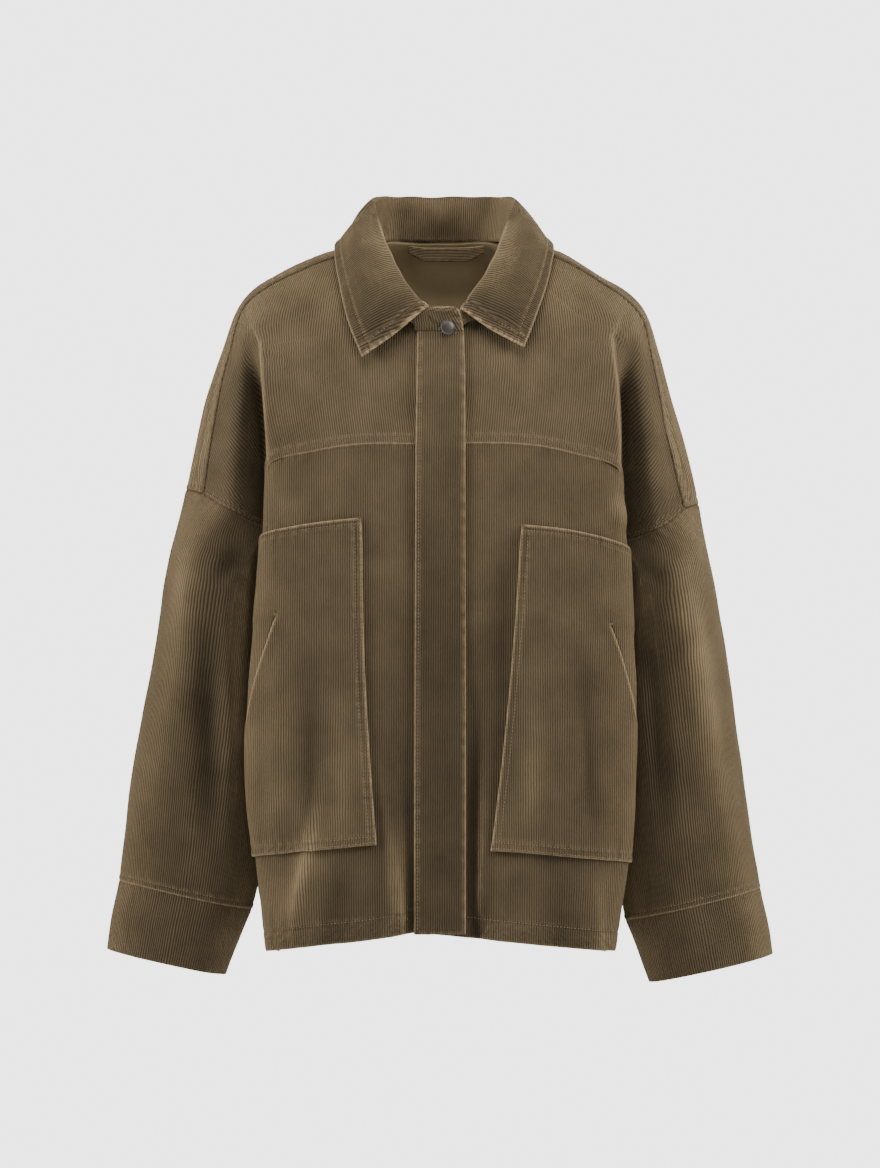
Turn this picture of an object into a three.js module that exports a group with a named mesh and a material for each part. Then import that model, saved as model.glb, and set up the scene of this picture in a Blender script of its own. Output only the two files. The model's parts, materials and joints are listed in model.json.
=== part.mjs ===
// A boxy corduroy jacket, filled out and hollow, with its neck, hem and cuffs open.
// Millimetres. +X is the right hand of someone who looks at the front, -Y is the front, +Z is up.
// The origin is between the shoulders, at the height where the shoulder seams reach the neck.
import * as THREE from 'three';

// Driving sizes
const CLOTH = 2; // thickness of one layer of corduroy with its turnings
const DOUBLE_CLOTH = 2.6; // collar, neckband and placket, which are two layers
const SEAM_PULL = 0.2; // how far each cut edge stands back from the seam line, and more in a crease
const LAY_GAP = 1.15; // between a panel and a piece that is sewn on top of it
const CORNER_SHARE = 0.3; // of the thickness, left where sharp creases meet in a point
const VIEW_DISTANCE = 5000; // the front view is measured from here
const VIEW_HEIGHT = -344; // the height that the front view looks along
const LEFT = -1;
const RIGHT = 1;
const RING_POWER = 0.88; // the shape of a sleeve's ring: 1 is an ellipse, and less is squarer
const CREST_COLUMN = 0.6; // where a front's crest lies across the panel, from 0 to 1
const SIDE_EDGE = 0.985; // where a pocket's outer edge lies across the panel, short of the side seam
const CREST_EASE = 0.75; // the columns of a pocket lie closer together towards the crest

// Each row below is a line across the cloth, from the front edge to the shoulder seam. A point is
// [out from the middle, depth, height], as it looks from the front: place() sets it where it is.
// The crest is the edge of the chest beside the arm, and the fold is the bottom of that crease.
const YOKE_ROWS = {
  left: [
    { centre: [21, -99, -89], mid: [31, -95, -80], near: [44, -83, -65], crest: [56, -61, -45],
      fold: [64, -34, -26], arm: [69, -11, -13], seam: [70, 8, -6] },
    { centre: [21, -106, -112], mid: [42, -103, -104], near: [68, -93, -87], crest: [88, -76, -65],
      fold: [99, -54, -45], arm: [104, -31, -28], seam: [105, -12, -16] },
    { centre: [21, -110, -134], mid: [52, -109, -127], near: [90, -102, -114], crest: [118, -88, -95],
      fold: [133, -64, -72], arm: [142, -40, -50], seam: [146, -18, -33] },
    { centre: [21, -113, -156], mid: [64, -113, -151], near: [118, -107, -140], crest: [176, -90, -112],
      fold: [186, -77, -96], arm: [193, -52, -79], seam: [196, -26, -64] },
    { centre: [21, -115, -172], mid: [70, -116, -169], near: [126, -111, -163], crest: [177, -95, -154],
      fold: [177, -60, -158], arm: [198, -64, -141], seam: [214, -36, -118] },
    { centre: [21, -117, -189], mid: [74, -119, -187], near: [128, -114, -187], crest: [174, -96, -195],
      fold: [170, -50, -217], arm: [204, -65, -209], seam: [228, -42, -192] },
    { centre: [21, -118, -204], mid: [76, -121, -204], near: [124, -116, -211], crest: [172, -96, -226],
      fold: [170, -46, -284], arm: [209, -63, -269], seam: [238, -41, -252] },
  ],
  right: [
    { centre: [-18, -96, -91], mid: [22, -95, -85], near: [44, -83, -65], crest: [56, -61, -45],
      fold: [64, -34, -26], arm: [69, -11, -13], seam: [70, 8, -6] },
    { centre: [-18, -103, -112], mid: [36, -103, -105], near: [68, -93, -88], crest: [90, -76, -65],
      fold: [102, -54, -45], arm: [109, -31, -27], seam: [111, -12, -15] },
    { centre: [-18, -107, -134], mid: [50, -109, -127], near: [92, -102, -114], crest: [120, -88, -95],
      fold: [136, -64, -73], arm: [146, -40, -52], seam: [151, -18, -34] },
    { centre: [-18, -110, -156], mid: [64, -113, -151], near: [116, -107, -138], crest: [171, -92, -110],
      fold: [183, -77, -98], arm: [193, -52, -84], seam: [199, -26, -72] },
    { centre: [-18, -112, -172], mid: [70, -116, -169], near: [126, -111, -162], crest: [177, -96, -146],
      fold: [178, -60, -160], arm: [199, -64, -142], seam: [213, -36, -117] },
    { centre: [-18, -114, -189], mid: [76, -119, -187], near: [130, -114, -189], crest: [180, -97, -200],
      fold: [177, -51, -232], arm: [208, -65, -220], seam: [228, -42, -193] },
    { centre: [-18, -115, -204], mid: [79, -121, -204], near: [129, -116, -212], crest: [181, -97, -232],
      fold: [179, -48, -296], arm: [217, -63, -288], seam: [244, -41, -267] },
  ],
};

// From the yoke seam down to the hem. The seam is the front of the armhole, then the side seam.
const FRONT_ROWS = {
  left: [
    { centre: [21, -118, -204], mid: [76, -121, -204], near: [124, -116, -211], crest: [172, -96, -226],
      side: [169, -70, -256], seam: [170, -46, -284] },
    { centre: [21, -119, -255], mid: [78, -122, -256], near: [130, -117, -262], crest: [175, -96, -273],
      side: [169, -58, -292], seam: [170, -20, -310] },
    { centre: [21, -120, -300], mid: [80, -123, -302], near: [134, -118, -306], crest: [177, -96, -313],
      side: [169, -46, -318], seam: [167, 8, -330] },
    { centre: [21, -121, -380], mid: [84, -124, -380], near: [142, -118, -380], crest: [183, -93, -380],
      side: [168, -40, -381], seam: [161, 8, -382] },
    { centre: [21, -121, -460], mid: [86, -125, -460], near: [148, -119, -460], crest: [190, -92, -460],
      side: [172, -40, -461], seam: [163, 8, -462] },
    { centre: [21, -122, -540], mid: [86, -126, -540], near: [148, -120, -540], crest: [190, -93, -540],
      side: [174, -40, -541], seam: [166, 8, -542] },
    { centre: [21, -123, -618], mid: [84, -128, -620], near: [144, -121, -622], crest: [183, -94, -622],
      side: [175, -42, -623], seam: [168, 8, -624] },
    { centre: [21, -124, -692], mid: [76, -128, -701], near: [132, -119, -707], crest: [172, -93, -711],
      side: [166, -44, -713], seam: [162, 8, -714] },
  ],
  right: [
    { centre: [-18, -115, -204], mid: [79, -121, -204], near: [129, -116, -212], crest: [181, -97, -232],
      side: [180, -74, -266], seam: [179, -48, -296] },
    { centre: [-18, -116, -255], mid: [81, -122, -256], near: [134, -117, -262], crest: [184, -97, -278],
      side: [176, -58, -303], seam: [176, -20, -324] },
    { centre: [-18, -117, -300], mid: [83, -123, -302], near: [138, -118, -306], crest: [187, -97, -318],
      side: [176, -46, -332], seam: [172, 8, -344] },
    { centre: [-18, -118, -380], mid: [86, -124, -380], near: [146, -119, -380], crest: [190, -94, -382],
      side: [172, -40, -386], seam: [164, 8, -390] },
    { centre: [-18, -118, -460], mid: [87, -125, -460], near: [150, -119, -460], crest: [193, -93, -460],
      side: [174, -40, -462], seam: [165, 8, -464] },
    { centre: [-18, -119, -540], mid: [86, -126, -540], near: [149, -120, -540], crest: [191, -94, -540],
      side: [175, -40, -541], seam: [167, 8, -542] },
    { centre: [-18, -120, -618], mid: [82, -128, -620], near: [144, -121, -622], crest: [189, -95, -622],
      side: [177, -42, -623], seam: [169, 8, -624] },
    { centre: [-18, -121, -693], mid: [67, -128, -702], near: [126, -120, -708], crest: [174, -93, -711],
      side: [167, -44, -713], seam: [162, 8, -714] },
  ],
};

// The back above the sleeve seams. Its first column is the shoulder seam, taken from the yoke.
// The ridge is the outline of the shoulder and arm that the front view shows.
const BACK_YOKE_ROWS = {
  left: [
    { ridge: [69, 20, -4], arm: [66, 34, -3], fold: [59, 48, -2], crest: [48, 58, -1],
      near: [33, 65, -2], mid: [17, 69, -3], centre: [0, 70, -3] },
    { ridge: [106, 12, -10], arm: [106, 38, -20], fold: [98, 58, -28], crest: [82, 72, -30],
      near: [57, 82, -29], mid: [29, 87, -27], centre: [0, 88, -26] },
    { ridge: [147, 8, -27], arm: [147, 42, -43], fold: [138, 66, -60], crest: [116, 83, -63],
      near: [80, 94, -60], mid: [41, 99, -56], centre: [0, 100, -54] },
    { ridge: [196, 5, -58], arm: [191, 48, -80], fold: [177, 72, -104], crest: [160, 89, -113],
      near: [108, 101, -104], mid: [55, 107, -96], centre: [0, 108, -92] },
    { ridge: [220, 5, -116], arm: [206, 62, -142], fold: [181, 66, -164], crest: [173, 92, -160],
      near: [118, 107, -150], mid: [60, 113, -142], centre: [0, 114, -138] },
    { ridge: [241, 5, -191], arm: [213, 71, -210], fold: [174, 60, -230], crest: [172, 96, -210],
      near: [122, 111, -196], mid: [62, 117, -188], centre: [0, 118, -184] },
    { ridge: [254, 4, -249], arm: [219, 77, -270], fold: [170, 56, -290], crest: [171, 98, -248],
      near: [124, 114, -238], mid: [63, 120, -234], centre: [0, 121, -230] },
  ],
  right: [
    { ridge: [69, 20, -4], arm: [66, 34, -3], fold: [59, 48, -2], crest: [48, 58, -1],
      near: [33, 65, -2], mid: [17, 69, -3], centre: [0, 70, -3] },
    { ridge: [113, 12, -9], arm: [112, 38, -20], fold: [101, 58, -28], crest: [84, 72, -30],
      near: [58, 82, -29], mid: [29, 87, -27], centre: [0, 88, -26] },
    { ridge: [151, 8, -28], arm: [149, 42, -44], fold: [139, 66, -60], crest: [117, 83, -63],
      near: [80, 94, -60], mid: [41, 99, -56], centre: [0, 100, -54] },
    { ridge: [199, 5, -63], arm: [193, 48, -85], fold: [177, 72, -107], crest: [160, 89, -114],
      near: [108, 101, -104], mid: [55, 107, -96], centre: [0, 108, -92] },
    { ridge: [220, 5, -115], arm: [207, 62, -144], fold: [182, 66, -168], crest: [174, 92, -162],
      near: [118, 107, -150], mid: [60, 113, -142], centre: [0, 114, -138] },
    { ridge: [241, 5, -191], arm: [215, 71, -218], fold: [178, 60, -240], crest: [175, 96, -214],
      near: [123, 111, -196], mid: [62, 117, -188], centre: [0, 118, -184] },
    { ridge: [258, 4, -264], arm: [224, 77, -288], fold: [176, 56, -307], crest: [176, 98, -252],
      near: [126, 114, -238], mid: [63, 120, -234], centre: [0, 121, -230] },
  ],
};

// The back from the armpits to the hem. Its first column is the side seam, taken from the front.
const BACK_ROWS = {
  left: [
    { seam: [170, 56, -290], side: [168, 80, -270], crest: [171, 98, -248], near: [124, 114, -238],
      mid: [63, 120, -234], centre: [0, 121, -230] },
    { seam: [169, 34, -314], side: [169, 64, -302], crest: [174, 99, -284], near: [128, 115, -276],
      mid: [66, 121, -274], centre: [0, 122, -272] },
    { side: [169, 54, -322], crest: [177, 99, -318], near: [133, 116, -312], mid: [68, 122, -310],
      centre: [0, 123, -308] },
    { side: [167, 54, -382], crest: [183, 98, -380], near: [141, 117, -380], mid: [72, 123, -380],
      centre: [0, 124, -380] },
    { side: [171, 54, -462], crest: [189, 100, -461], near: [147, 119, -460], mid: [76, 125, -460],
      centre: [0, 126, -460] },
    { side: [173, 54, -542], crest: [189, 101, -541], near: [147, 121, -540], mid: [76, 127, -540],
      centre: [0, 128, -540] },
    { side: [174, 54, -624], crest: [185, 101, -623], near: [143, 122, -622], mid: [74, 128, -622],
      centre: [0, 129, -622] },
    { side: [165, 50, -712], crest: [169, 98, -708], near: [132, 119, -704], mid: [70, 126, -694],
      centre: [0, 127, -688] },
  ],
  right: [
    { seam: [176, 56, -307], side: [174, 80, -282], crest: [176, 98, -252], near: [126, 114, -238],
      mid: [63, 120, -234], centre: [0, 121, -230] },
    { seam: [174, 34, -330], side: [173, 64, -314], crest: [180, 99, -290], near: [130, 115, -276],
      mid: [66, 121, -274], centre: [0, 122, -272] },
    { side: [173, 54, -336], crest: [183, 99, -324], near: [135, 116, -312], mid: [69, 122, -310],
      centre: [0, 123, -308] },
    { side: [171, 54, -388], crest: [188, 98, -382], near: [143, 117, -380], mid: [73, 123, -380],
      centre: [0, 124, -380] },
    { side: [173, 54, -463], crest: [191, 100, -461], near: [148, 119, -460], mid: [76, 125, -460],
      centre: [0, 126, -460] },
    { side: [174, 54, -542], crest: [190, 101, -541], near: [147, 121, -540], mid: [76, 127, -540],
      centre: [0, 128, -540] },
    { side: [176, 54, -624], crest: [187, 101, -623], near: [144, 122, -622], mid: [74, 128, -622],
      centre: [0, 129, -622] },
    { side: [164, 50, -712], crest: [168, 98, -708], near: [131, 119, -704], mid: [70, 126, -694],
      centre: [0, 127, -688] },
  ],
};

// Rings of a sleeve below its armhole, each through an outer and an inner point [out, height].
// The last ring is the cuff seam, and the cuff goes on from it.
const SLEEVE_RINGS = {
  left: [
    { outer: [264, -291], inner: [173, -364], middle: 8, halfDepth: 84 },
    { outer: [286, -410], inner: [171, -446], middle: 9, halfDepth: 80 },
    { outer: [303, -510], inner: [175, -540], middle: 6, halfDepth: 72 },
    { outer: [315, -590], inner: [177, -620], middle: 2, halfDepth: 60 },
    { outer: [321, -639], inner: [187, -668], middle: 0, halfDepth: 50 },
  ],
  right: [
    { outer: [267, -305], inner: [177, -376], middle: 8, halfDepth: 84 },
    { outer: [285, -412], inner: [174, -452], middle: 9, halfDepth: 80 },
    { outer: [299, -512], inner: [177, -545], middle: 6, halfDepth: 72 },
    { outer: [311, -592], inner: [178, -627], middle: 2, halfDepth: 60 },
    { outer: [321, -647], inner: [185, -679], middle: 0, halfDepth: 50 },
  ],
};
const CUFF_RINGS = {
  left: [
    { outer: [321, -639], inner: [187, -668], middle: 0, halfDepth: 50 },
    { outer: [328, -675], inner: [200, -702], middle: -2, halfDepth: 47 },
    { outer: [332, -708], inner: [212, -734], middle: -3, halfDepth: 43 },
  ],
  right: [
    { outer: [321, -647], inner: [185, -679], middle: 0, halfDepth: 50 },
    { outer: [328, -681], inner: [198, -710], middle: -2, halfDepth: 47 },
    { outer: [333, -713], inner: [209, -741], middle: -3, halfDepth: 43 },
  ],
};

// The collar, from its short front edge round to the middle of the back. The neck is its seam,
// the roll is where it turns over, and the edge is its free outer edge.
const COLLAR_ROWS = {
  left: [
    { neck: [15, -100, -86], roll: [11, -104, -67], fall: [45, -111, -93], edge: [78, -115, -116] },
    { neck: [30, -94, -79], roll: [26, -98, -52], fall: [59, -107, -67], edge: [92, -100, -82] },
    { neck: [44, -82, -63], roll: [41, -82, -30], fall: [72, -88, -37], edge: [100, -72, -49] },
    { neck: [56, -60, -43], roll: [54, -50, -1], fall: [83, -50, -6], edge: [106, -24, -12] },
    { neck: [64, -33, -24], roll: [62, -14, 22], fall: [85, -6, 17], edge: [102, 20, -2] },
    { neck: [68, 10, -4], roll: [65, 22, 42], fall: [80, 38, 26], edge: [84, 64, -10] },
    { neck: [46, 59, -1], roll: [46, 53, 43], fall: [54, 75, 22], edge: [48, 92, -16] },
    { neck: [0, 70, -2], roll: [0, 64, 43], fall: [0, 86, 20], edge: [0, 99, -18] },
  ],
  right: [
    { neck: [24, -98, -84], roll: [20, -103, -69], fall: [51, -110, -89], edge: [84, -114, -106] },
    { neck: [35, -91, -75], roll: [32, -98, -52], fall: [64, -106, -63], edge: [96, -98, -76] },
    { neck: [46, -80, -60], roll: [48, -82, -29], fall: [77, -88, -36], edge: [106, -70, -48] },
    { neck: [56, -60, -43], roll: [60, -50, -2], fall: [89, -50, -6], edge: [114, -24, -11] },
    { neck: [64, -33, -24], roll: [68, -14, 20], fall: [93, -6, 17], edge: [110, 20, -1] },
    { neck: [68, 10, -4], roll: [73, 22, 42], fall: [87, 38, 26], edge: [90, 64, -9] },
    { neck: [46, 59, -1], roll: [52, 53, 43], fall: [58, 75, 22], edge: [52, 92, -15] },
    { neck: [0, 70, -2], roll: [0, 64, 43], fall: [0, 86, 20], edge: [0, 99, -18] },
  ],
};

// The main folds, as soft ridges (rise above 0) and troughs from one point [out, height] to another.
// Each is deepest at the share of its length called peak, and stands out of the front or the back.
const FOLDS = {
  left: {
    front: [
      { from: [38, -540], to: [45, -694], rise: 4.5, width: 12, peak: 1 },
      { from: [29, -470], to: [31, -694], rise: -4, width: 8, peak: 1 },
      { from: [104, -520], to: [150, -705], rise: 5.5, width: 17, peak: 0.75 },
      { from: [90, -570], to: [110, -706], rise: -4, width: 15, peak: 1 },
    ],
    sleeve: [
      { from: [248, -270], to: [262, -480], rise: 5, width: 15, peak: 0.4 },
      { from: [236, -340], to: [226, -640], rise: -6, width: 14, peak: 0.5 },
    ],
    back: [
      { from: [60, -360], to: [78, -692], rise: 5, width: 20, peak: 1 },
      { from: [116, -430], to: [126, -700], rise: -5, width: 18, peak: 1 },
    ],
  },
  right: {
    front: [
      { from: [32, -370], to: [38, -694], rise: -7, width: 10, peak: 1 },
      { from: [50, -500], to: [56, -700], rise: 4, width: 18, peak: 1 },
      { from: [112, -560], to: [120, -706], rise: -4, width: 18, peak: 1 },
    ],
    sleeve: [
      { from: [232, -285], to: [290, -620], rise: 5, width: 15, peak: 0.4 },
      { from: [212, -330], to: [240, -645], rise: -5, width: 14, peak: 0.5 },
    ],
    back: [
      { from: [52, -380], to: [66, -692], rise: 4, width: 20, peak: 1 },
      { from: [104, -400], to: [124, -700], rise: -5, width: 20, peak: 1 },
    ],
  },
};
const SLEEVE_MIDDLE = 6; // the depth of a sleeve's middle line, where its folds have died out
const SLEEVE_MIDDLE_DEPTH = 70;
const COLLAR_RISE = 0.1; // the collar's neck edge stands this far above the panels' neck edge

// The fly placket on the front edge: its left and right edges and its depth at a few heights.
const PLACKET_ROWS = [
  { height: -90.8, left: -22.5, right: 23.5, depth: -103.85 },
  { height: -134, left: -23, right: 24.5, depth: -114.35 },
  { height: -204, left: -24, right: 25, depth: -121.75 },
  { height: -300, left: -24.5, right: 25, depth: -123.75 },
  { height: -460, left: -25, right: 25.5, depth: -125.15 },
  { height: -618, left: -25.5, right: 25.5, depth: -127.15 },
  { height: -694, left: -25.5, right: 25.5, depth: -128.15 },
];
const STRIP_ROUNDING = 0.4; // how far the edges of the placket and the neckband lie behind their middle
// The end of the neckband that closes the neck, above the placket.
const TAB_ROWS = [
  { height: -67, left: -8, right: 13, depth: -105.5 },
  { height: -70, left: -9.5, right: 18.5, depth: -105.5 },
  { height: -80, left: -11, right: 21.5, depth: -104.5 },
  { height: -90.7, left: -12, right: 23.5, depth: -104.1 },
];

// Patch pockets: corners [out, height], the slanted hand opening, and their outer edge at the side.
const POCKETS = {
  left: {
    topInner: [79, -277], topOuter: [166, -291], bottomInner: [64, -602], bottomOuter: [176, -616],
    slitTop: [161, -374], slitBottom: [187, -485], sideTop: -350,
  },
  right: {
    topInner: [82, -283], topOuter: [176, -302], bottomInner: [51, -608], bottomOuter: [178, -622],
    slitTop: [168, -384], slitBottom: [190, -482], sideTop: -362,
  },
};

// The hanger loop inside the back neck, a strip that stands clear of the back between its ends.
// Its depth is the one at the middle of the back, and less to both sides as the neck curves round.
const LOOP = {
  left: -32, right: 45, top: -2, end: 6, bottom: -17, bulge: 6, depth: 69.3, curve: 0.0052, thickness: 2.5,
};

// The snap's cap: a shallow dome with a rim, turned a little to the side as the neckband is.
const SNAP = { x: 7.9, z: -87.3, turn: 20, gap: 2.35 };
// Half of the cap's outline, as [radius, height]: the flat underside, the rim, its groove, the dome.
const SNAP_PROFILE = [
  [0, 0], [6.9, 0], [7.5, 0.5], [7.5, 1.3], [6.8, 1.7], [6.3, 1.5], [4.1, 2.4], [0, 2.6],
];
const SNAP_SEGMENTS = 32;

const CORDUROY = new THREE.MeshStandardMaterial({ color: 0x6a5a44, roughness: 0.95, metalness: 0 });
const CORDUROY_REVERSE = new THREE.MeshStandardMaterial({ color: 0x4f422f, roughness: 0.9, metalness: 0 });
const GUNMETAL = new THREE.MeshStandardMaterial({ color: 0x58534e, roughness: 0.35, metalness: 1 });

// How finely each kind of panel is cut: the steps between neighbouring columns and rows.
const YOKE_STEPS = [5, 3, 4, 4, 4, 4];
const FRONT_STEPS = [5, 3, 4, 2, 2];
const BACK_YOKE_STEPS = [2, 4, 4, 4, 3, 2, 2];
const BACK_STEPS = [2, 2, 3, 2, 2];
const YOKE_ROW_STEPS = [2, 2, 2, 2, 2, 2];
const FRONT_ROW_STEPS = [3, 3, 2, 2, 2, 2, 2];
const ARMHOLE_ROWS = FRONT_ROW_STEPS[0] + FRONT_ROW_STEPS[1];
const SLEEVE_ROW_STEPS = [3, 3, 2, 2, 2];
const CUFF_ROW_STEPS = [1, 1];
const COLLAR_STEPS = [2, 4, 3];
const COLLAR_ROW_STEP = 2;
const PLACKET_COLUMNS = 4;
const PLACKET_ROW_STEPS = [2, 3, 3, 4, 4, 2];
const TAB_COLUMNS = 6;
const TAB_ROW_STEPS = [1, 2, 2];
const POCKET_COLUMNS = 12; // in front of the crest
const POCKET_SIDE_COLUMNS = 8; // behind it
const LOOP_COLUMNS = 8;
const YOKE_FOLD_COLUMN = 16; // the column where the crease meets the sleeve seam
const BACK_FOLD_COLUMN = 10;

// Sets a point, given as it looks from the front, at its real place for its depth.
function place([out, depth, height], side) {
  const nearer = (VIEW_DISTANCE + depth) / VIEW_DISTANCE;
  return new THREE.Vector3(side * out * nearer, depth, VIEW_HEIGHT + (height - VIEW_HEIGHT) * nearer);
}

// How the point looks from the front: its distance out from the middle, and its height.
function seen(point, side) {
  const nearer = (VIEW_DISTANCE + point.y) / VIEW_DISTANCE;
  return { out: (side * point.x) / nearer, height: VIEW_HEIGHT + (point.z - VIEW_HEIGHT) / nearer };
}

const smooth = (t) => t * t * (3 - 2 * t);

// How far the folds lift the point: a bell across each fold, which fades out towards its ends.
function foldLift(point, folds, side) {
  const { out, height } = seen(point, side);
  let lift = 0;
  for (const { from, to, rise, width, peak } of folds) {
    const [along, up] = [to[0] - from[0], to[1] - from[1]];
    const length = Math.hypot(along, up);
    const share = ((out - from[0]) * along + (height - from[1]) * up) / length ** 2;
    const apart = ((out - from[0]) * up - (height - from[1]) * along) / length;
    const kept = Math.max(0, Math.min(1, share));
    const fade = smooth(kept < peak || peak === 1 ? kept / peak : (1 - kept) / (1 - peak));
    lift += rise * fade * Math.exp(-((apart / width) ** 2));
  }
  return lift;
}

// Moves the points of a grid forwards by their folds, or backwards where the cloth faces back.
function folded(rows, folds, side, forwards = () => 1) {
  return rows.map((row) => row.map((p) => {
    const moved = p.clone();
    moved.y -= foldLift(p, folds, side) * forwards(p);
    return moved;
  }));
}

// The places along a curve with the given number of steps between neighbouring points.
function marks(steps) {
  const found = [];
  steps.forEach((count, k) => {
    for (let i = 0; i < count; i += 1) found.push((k + i / count) / steps.length);
  });
  return [...found, 1];
}

// A grid of points: curves down the columns of the table, then curves across between them.
function lay(rows, columnSteps, rowSteps) {
  const downs = rows[0].map((_, k) => new THREE.CatmullRomCurve3(rows.map((row) => row[k])));
  return marks(rowSteps).map((v) => {
    const across = new THREE.CatmullRomCurve3(downs.map((down) => down.getPoint(v)));
    return marks(columnSteps).map((u) => across.getPoint(u));
  });
}

// The rows of a table as points, with the named columns in order.
function placed(table, names, side) {
  return table.map((row) => names.map((name) => place(row[name], side)));
}

const keyOf = (p) => p.toArray().map((value) => Math.round(value * 1000)).join();

// An open surface of one or more grids that share their edge points.
class Surface {
  constructor() {
    this.points = [];
    this.faces = [];
    this.found = new Map();
  }

  vertex(p) {
    const key = keyOf(p);
    if (!this.found.has(key)) {
      this.found.set(key, this.points.length);
      this.points.push(p.clone());
    }
    return this.found.get(key);
  }

  face(a, b, c) {
    if (a !== b && b !== c && c !== a) this.faces.push([a, b, c]);
  }

  // Adds a grid of rows. The outside is seen with the rows going down and the columns to the right.
  grid(rows, flipped = false) {
    const ids = rows.map((row) => row.map((p) => this.vertex(p)));
    for (let r = 0; r + 1 < ids.length; r += 1) {
      for (let c = 0; c + 1 < ids[r].length; c += 1) {
        const [a, b, d, e] = [ids[r][c], ids[r][c + 1], ids[r + 1][c], ids[r + 1][c + 1]];
        if (flipped) {
          this.face(a, b, e);
          this.face(a, e, d);
        } else {
          this.face(a, d, e);
          this.face(a, e, b);
        }
      }
    }
    return this;
  }

  // The normal at every point, by the point's place, and how well its faces agree on it: 1 where
  // they lie flat, less in a sharp crease.
  normals() {
    const found = new Map();
    for (const face of this.faces) {
      const [a, b, c] = face.map((id) => this.points[id]);
      const n = b.clone().sub(a).cross(c.clone().sub(a));
      for (const p of [a, b, c]) {
        const key = keyOf(p);
        if (!found.has(key)) found.set(key, { normal: new THREE.Vector3(), total: 0 });
        found.get(key).normal.add(n);
        found.get(key).total += n.length();
      }
    }
    for (const entry of found.values()) {
      entry.agreement = entry.normal.length() / entry.total;
      entry.normal.normalize();
    }
    return found;
  }

  // The edges with a face on one side only, from each edge's start to its end.
  rim() {
    const seen = new Set(this.faces.flatMap(([a, b, c]) => [`${a},${b}`, `${b},${c}`, `${c},${a}`]));
    const rim = [];
    for (const [a, b, c] of this.faces) {
      for (const [p, q] of [[a, b], [b, c], [c, a]]) {
        if (!seen.has(`${q},${p}`)) rim.push([p, q]);
      }
    }
    return rim;
  }

  // A closed wall: the surface, its copy moved inwards by the thickness, and a strip round the rim.
  wall(name, material, thickness, shared = this.normals()) {
    const rim = this.rim();
    const pull = this.points.map(() => new THREE.Vector3());
    for (const [p, q] of rim) {
      const along = this.points[q].clone().sub(this.points[p]).normalize();
      const inward = shared.get(keyOf(this.points[p])).normal.clone();
      inward.add(shared.get(keyOf(this.points[q])).normal).normalize().cross(along);
      pull[p].add(inward);
      pull[q].add(inward);
    }
    const count = this.points.length;
    const corners = new Float32Array(count * 6);
    this.points.forEach((p, id) => {
      const { normal, agreement } = shared.get(keyOf(p));
      const outer = p.clone();
      const back = SEAM_PULL / Math.max(CORNER_SHARE, agreement ** 2);
      if (pull[id].lengthSq() > 0) outer.addScaledVector(pull[id].normalize(), back);
      outer.toArray(corners, id * 3);
      const depth = thickness * Math.max(CORNER_SHARE, agreement ** 2);
      outer.addScaledVector(normal, -depth).toArray(corners, (count + id) * 3);
    });
    const index = this.faces.flatMap(([a, b, c]) => [a, b, c, count + c, count + b, count + a]);
    for (const [p, q] of rim) index.push(q, p, count + p, q, count + p, count + q);
    const geometry = new THREE.BufferGeometry();
    geometry.setAttribute('position', new THREE.BufferAttribute(corners, 3));
    geometry.setIndex(index);
    geometry.computeVertexNormals();
    const mesh = new THREE.Mesh(geometry, material);
    mesh.name = name;
    return mesh;
  }
}

// A ring through an outer and an inner point, with round ends, at the given angles.
function ring({ outer, inner, middle, halfDepth }, side, angles) {
  const out = place([outer[0], middle, outer[1]], side);
  const into = place([inner[0], middle, inner[1]], side);
  const centre = out.clone().add(into).multiplyScalar(0.5);
  const half = out.clone().sub(centre);
  return angles.map((angle) => {
    const [c, s] = [Math.cos(angle), Math.sin(angle)];
    const across = Math.sign(c) * Math.abs(c) ** RING_POWER;
    const deep = Math.sign(s) * Math.abs(s) ** RING_POWER;
    return centre.clone().addScaledVector(half, across).add(new THREE.Vector3(0, deep * halfDepth, 0));
  });
}

// One side of the jacket's body: the grids of its panels, which share their points along the seams.
function layBody(key, side) {
  const yokeNames = ['centre', 'mid', 'near', 'crest', 'fold', 'arm', 'seam'];
  const frontNames = ['centre', 'mid', 'near', 'crest', 'side', 'seam'];
  const backYokeNames = ['ridge', 'arm', 'fold', 'crest', 'near', 'mid', 'centre'];
  const backNames = ['side', 'crest', 'near', 'mid', 'centre'];

  const yoke = lay(placed(YOKE_ROWS[key], yokeNames, side), YOKE_STEPS, YOKE_ROW_STEPS);
  const frontPoints = placed(FRONT_ROWS[key], frontNames, side);
  const front = folded(lay(frontPoints, FRONT_STEPS, FRONT_ROW_STEPS), FOLDS[key].front, side);
  front[0] = yoke.at(-1).slice(0, YOKE_FOLD_COLUMN + 1);

  const backYokePoints = placed(BACK_YOKE_ROWS[key], backYokeNames, side);
  backYokePoints.forEach((row, k) => row.unshift(place(YOKE_ROWS[key][k].seam, side)));
  const backYoke = lay(backYokePoints, BACK_YOKE_STEPS, YOKE_ROW_STEPS);
  backYoke.forEach((row, k) => { row[0] = yoke[k].at(-1); });

  const backPoints = placed(BACK_ROWS[key], backNames, side);
  backPoints.forEach((row, k) => {
    row.unshift(place(BACK_ROWS[key][k].seam ?? FRONT_ROWS[key][k].seam, side));
  });
  backPoints[0][0] = backYoke.at(-1)[BACK_FOLD_COLUMN].clone();
  const back = folded(lay(backPoints, BACK_STEPS, FRONT_ROW_STEPS), FOLDS[key].back, side, () => -1);
  back[0] = backYoke.at(-1).slice(BACK_FOLD_COLUMN);
  back.forEach((row, k) => { if (k >= ARMHOLE_ROWS) row[0] = front[k].at(-1); });
  return { yoke, front, backYoke, back, frontPoints };
}

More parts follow.
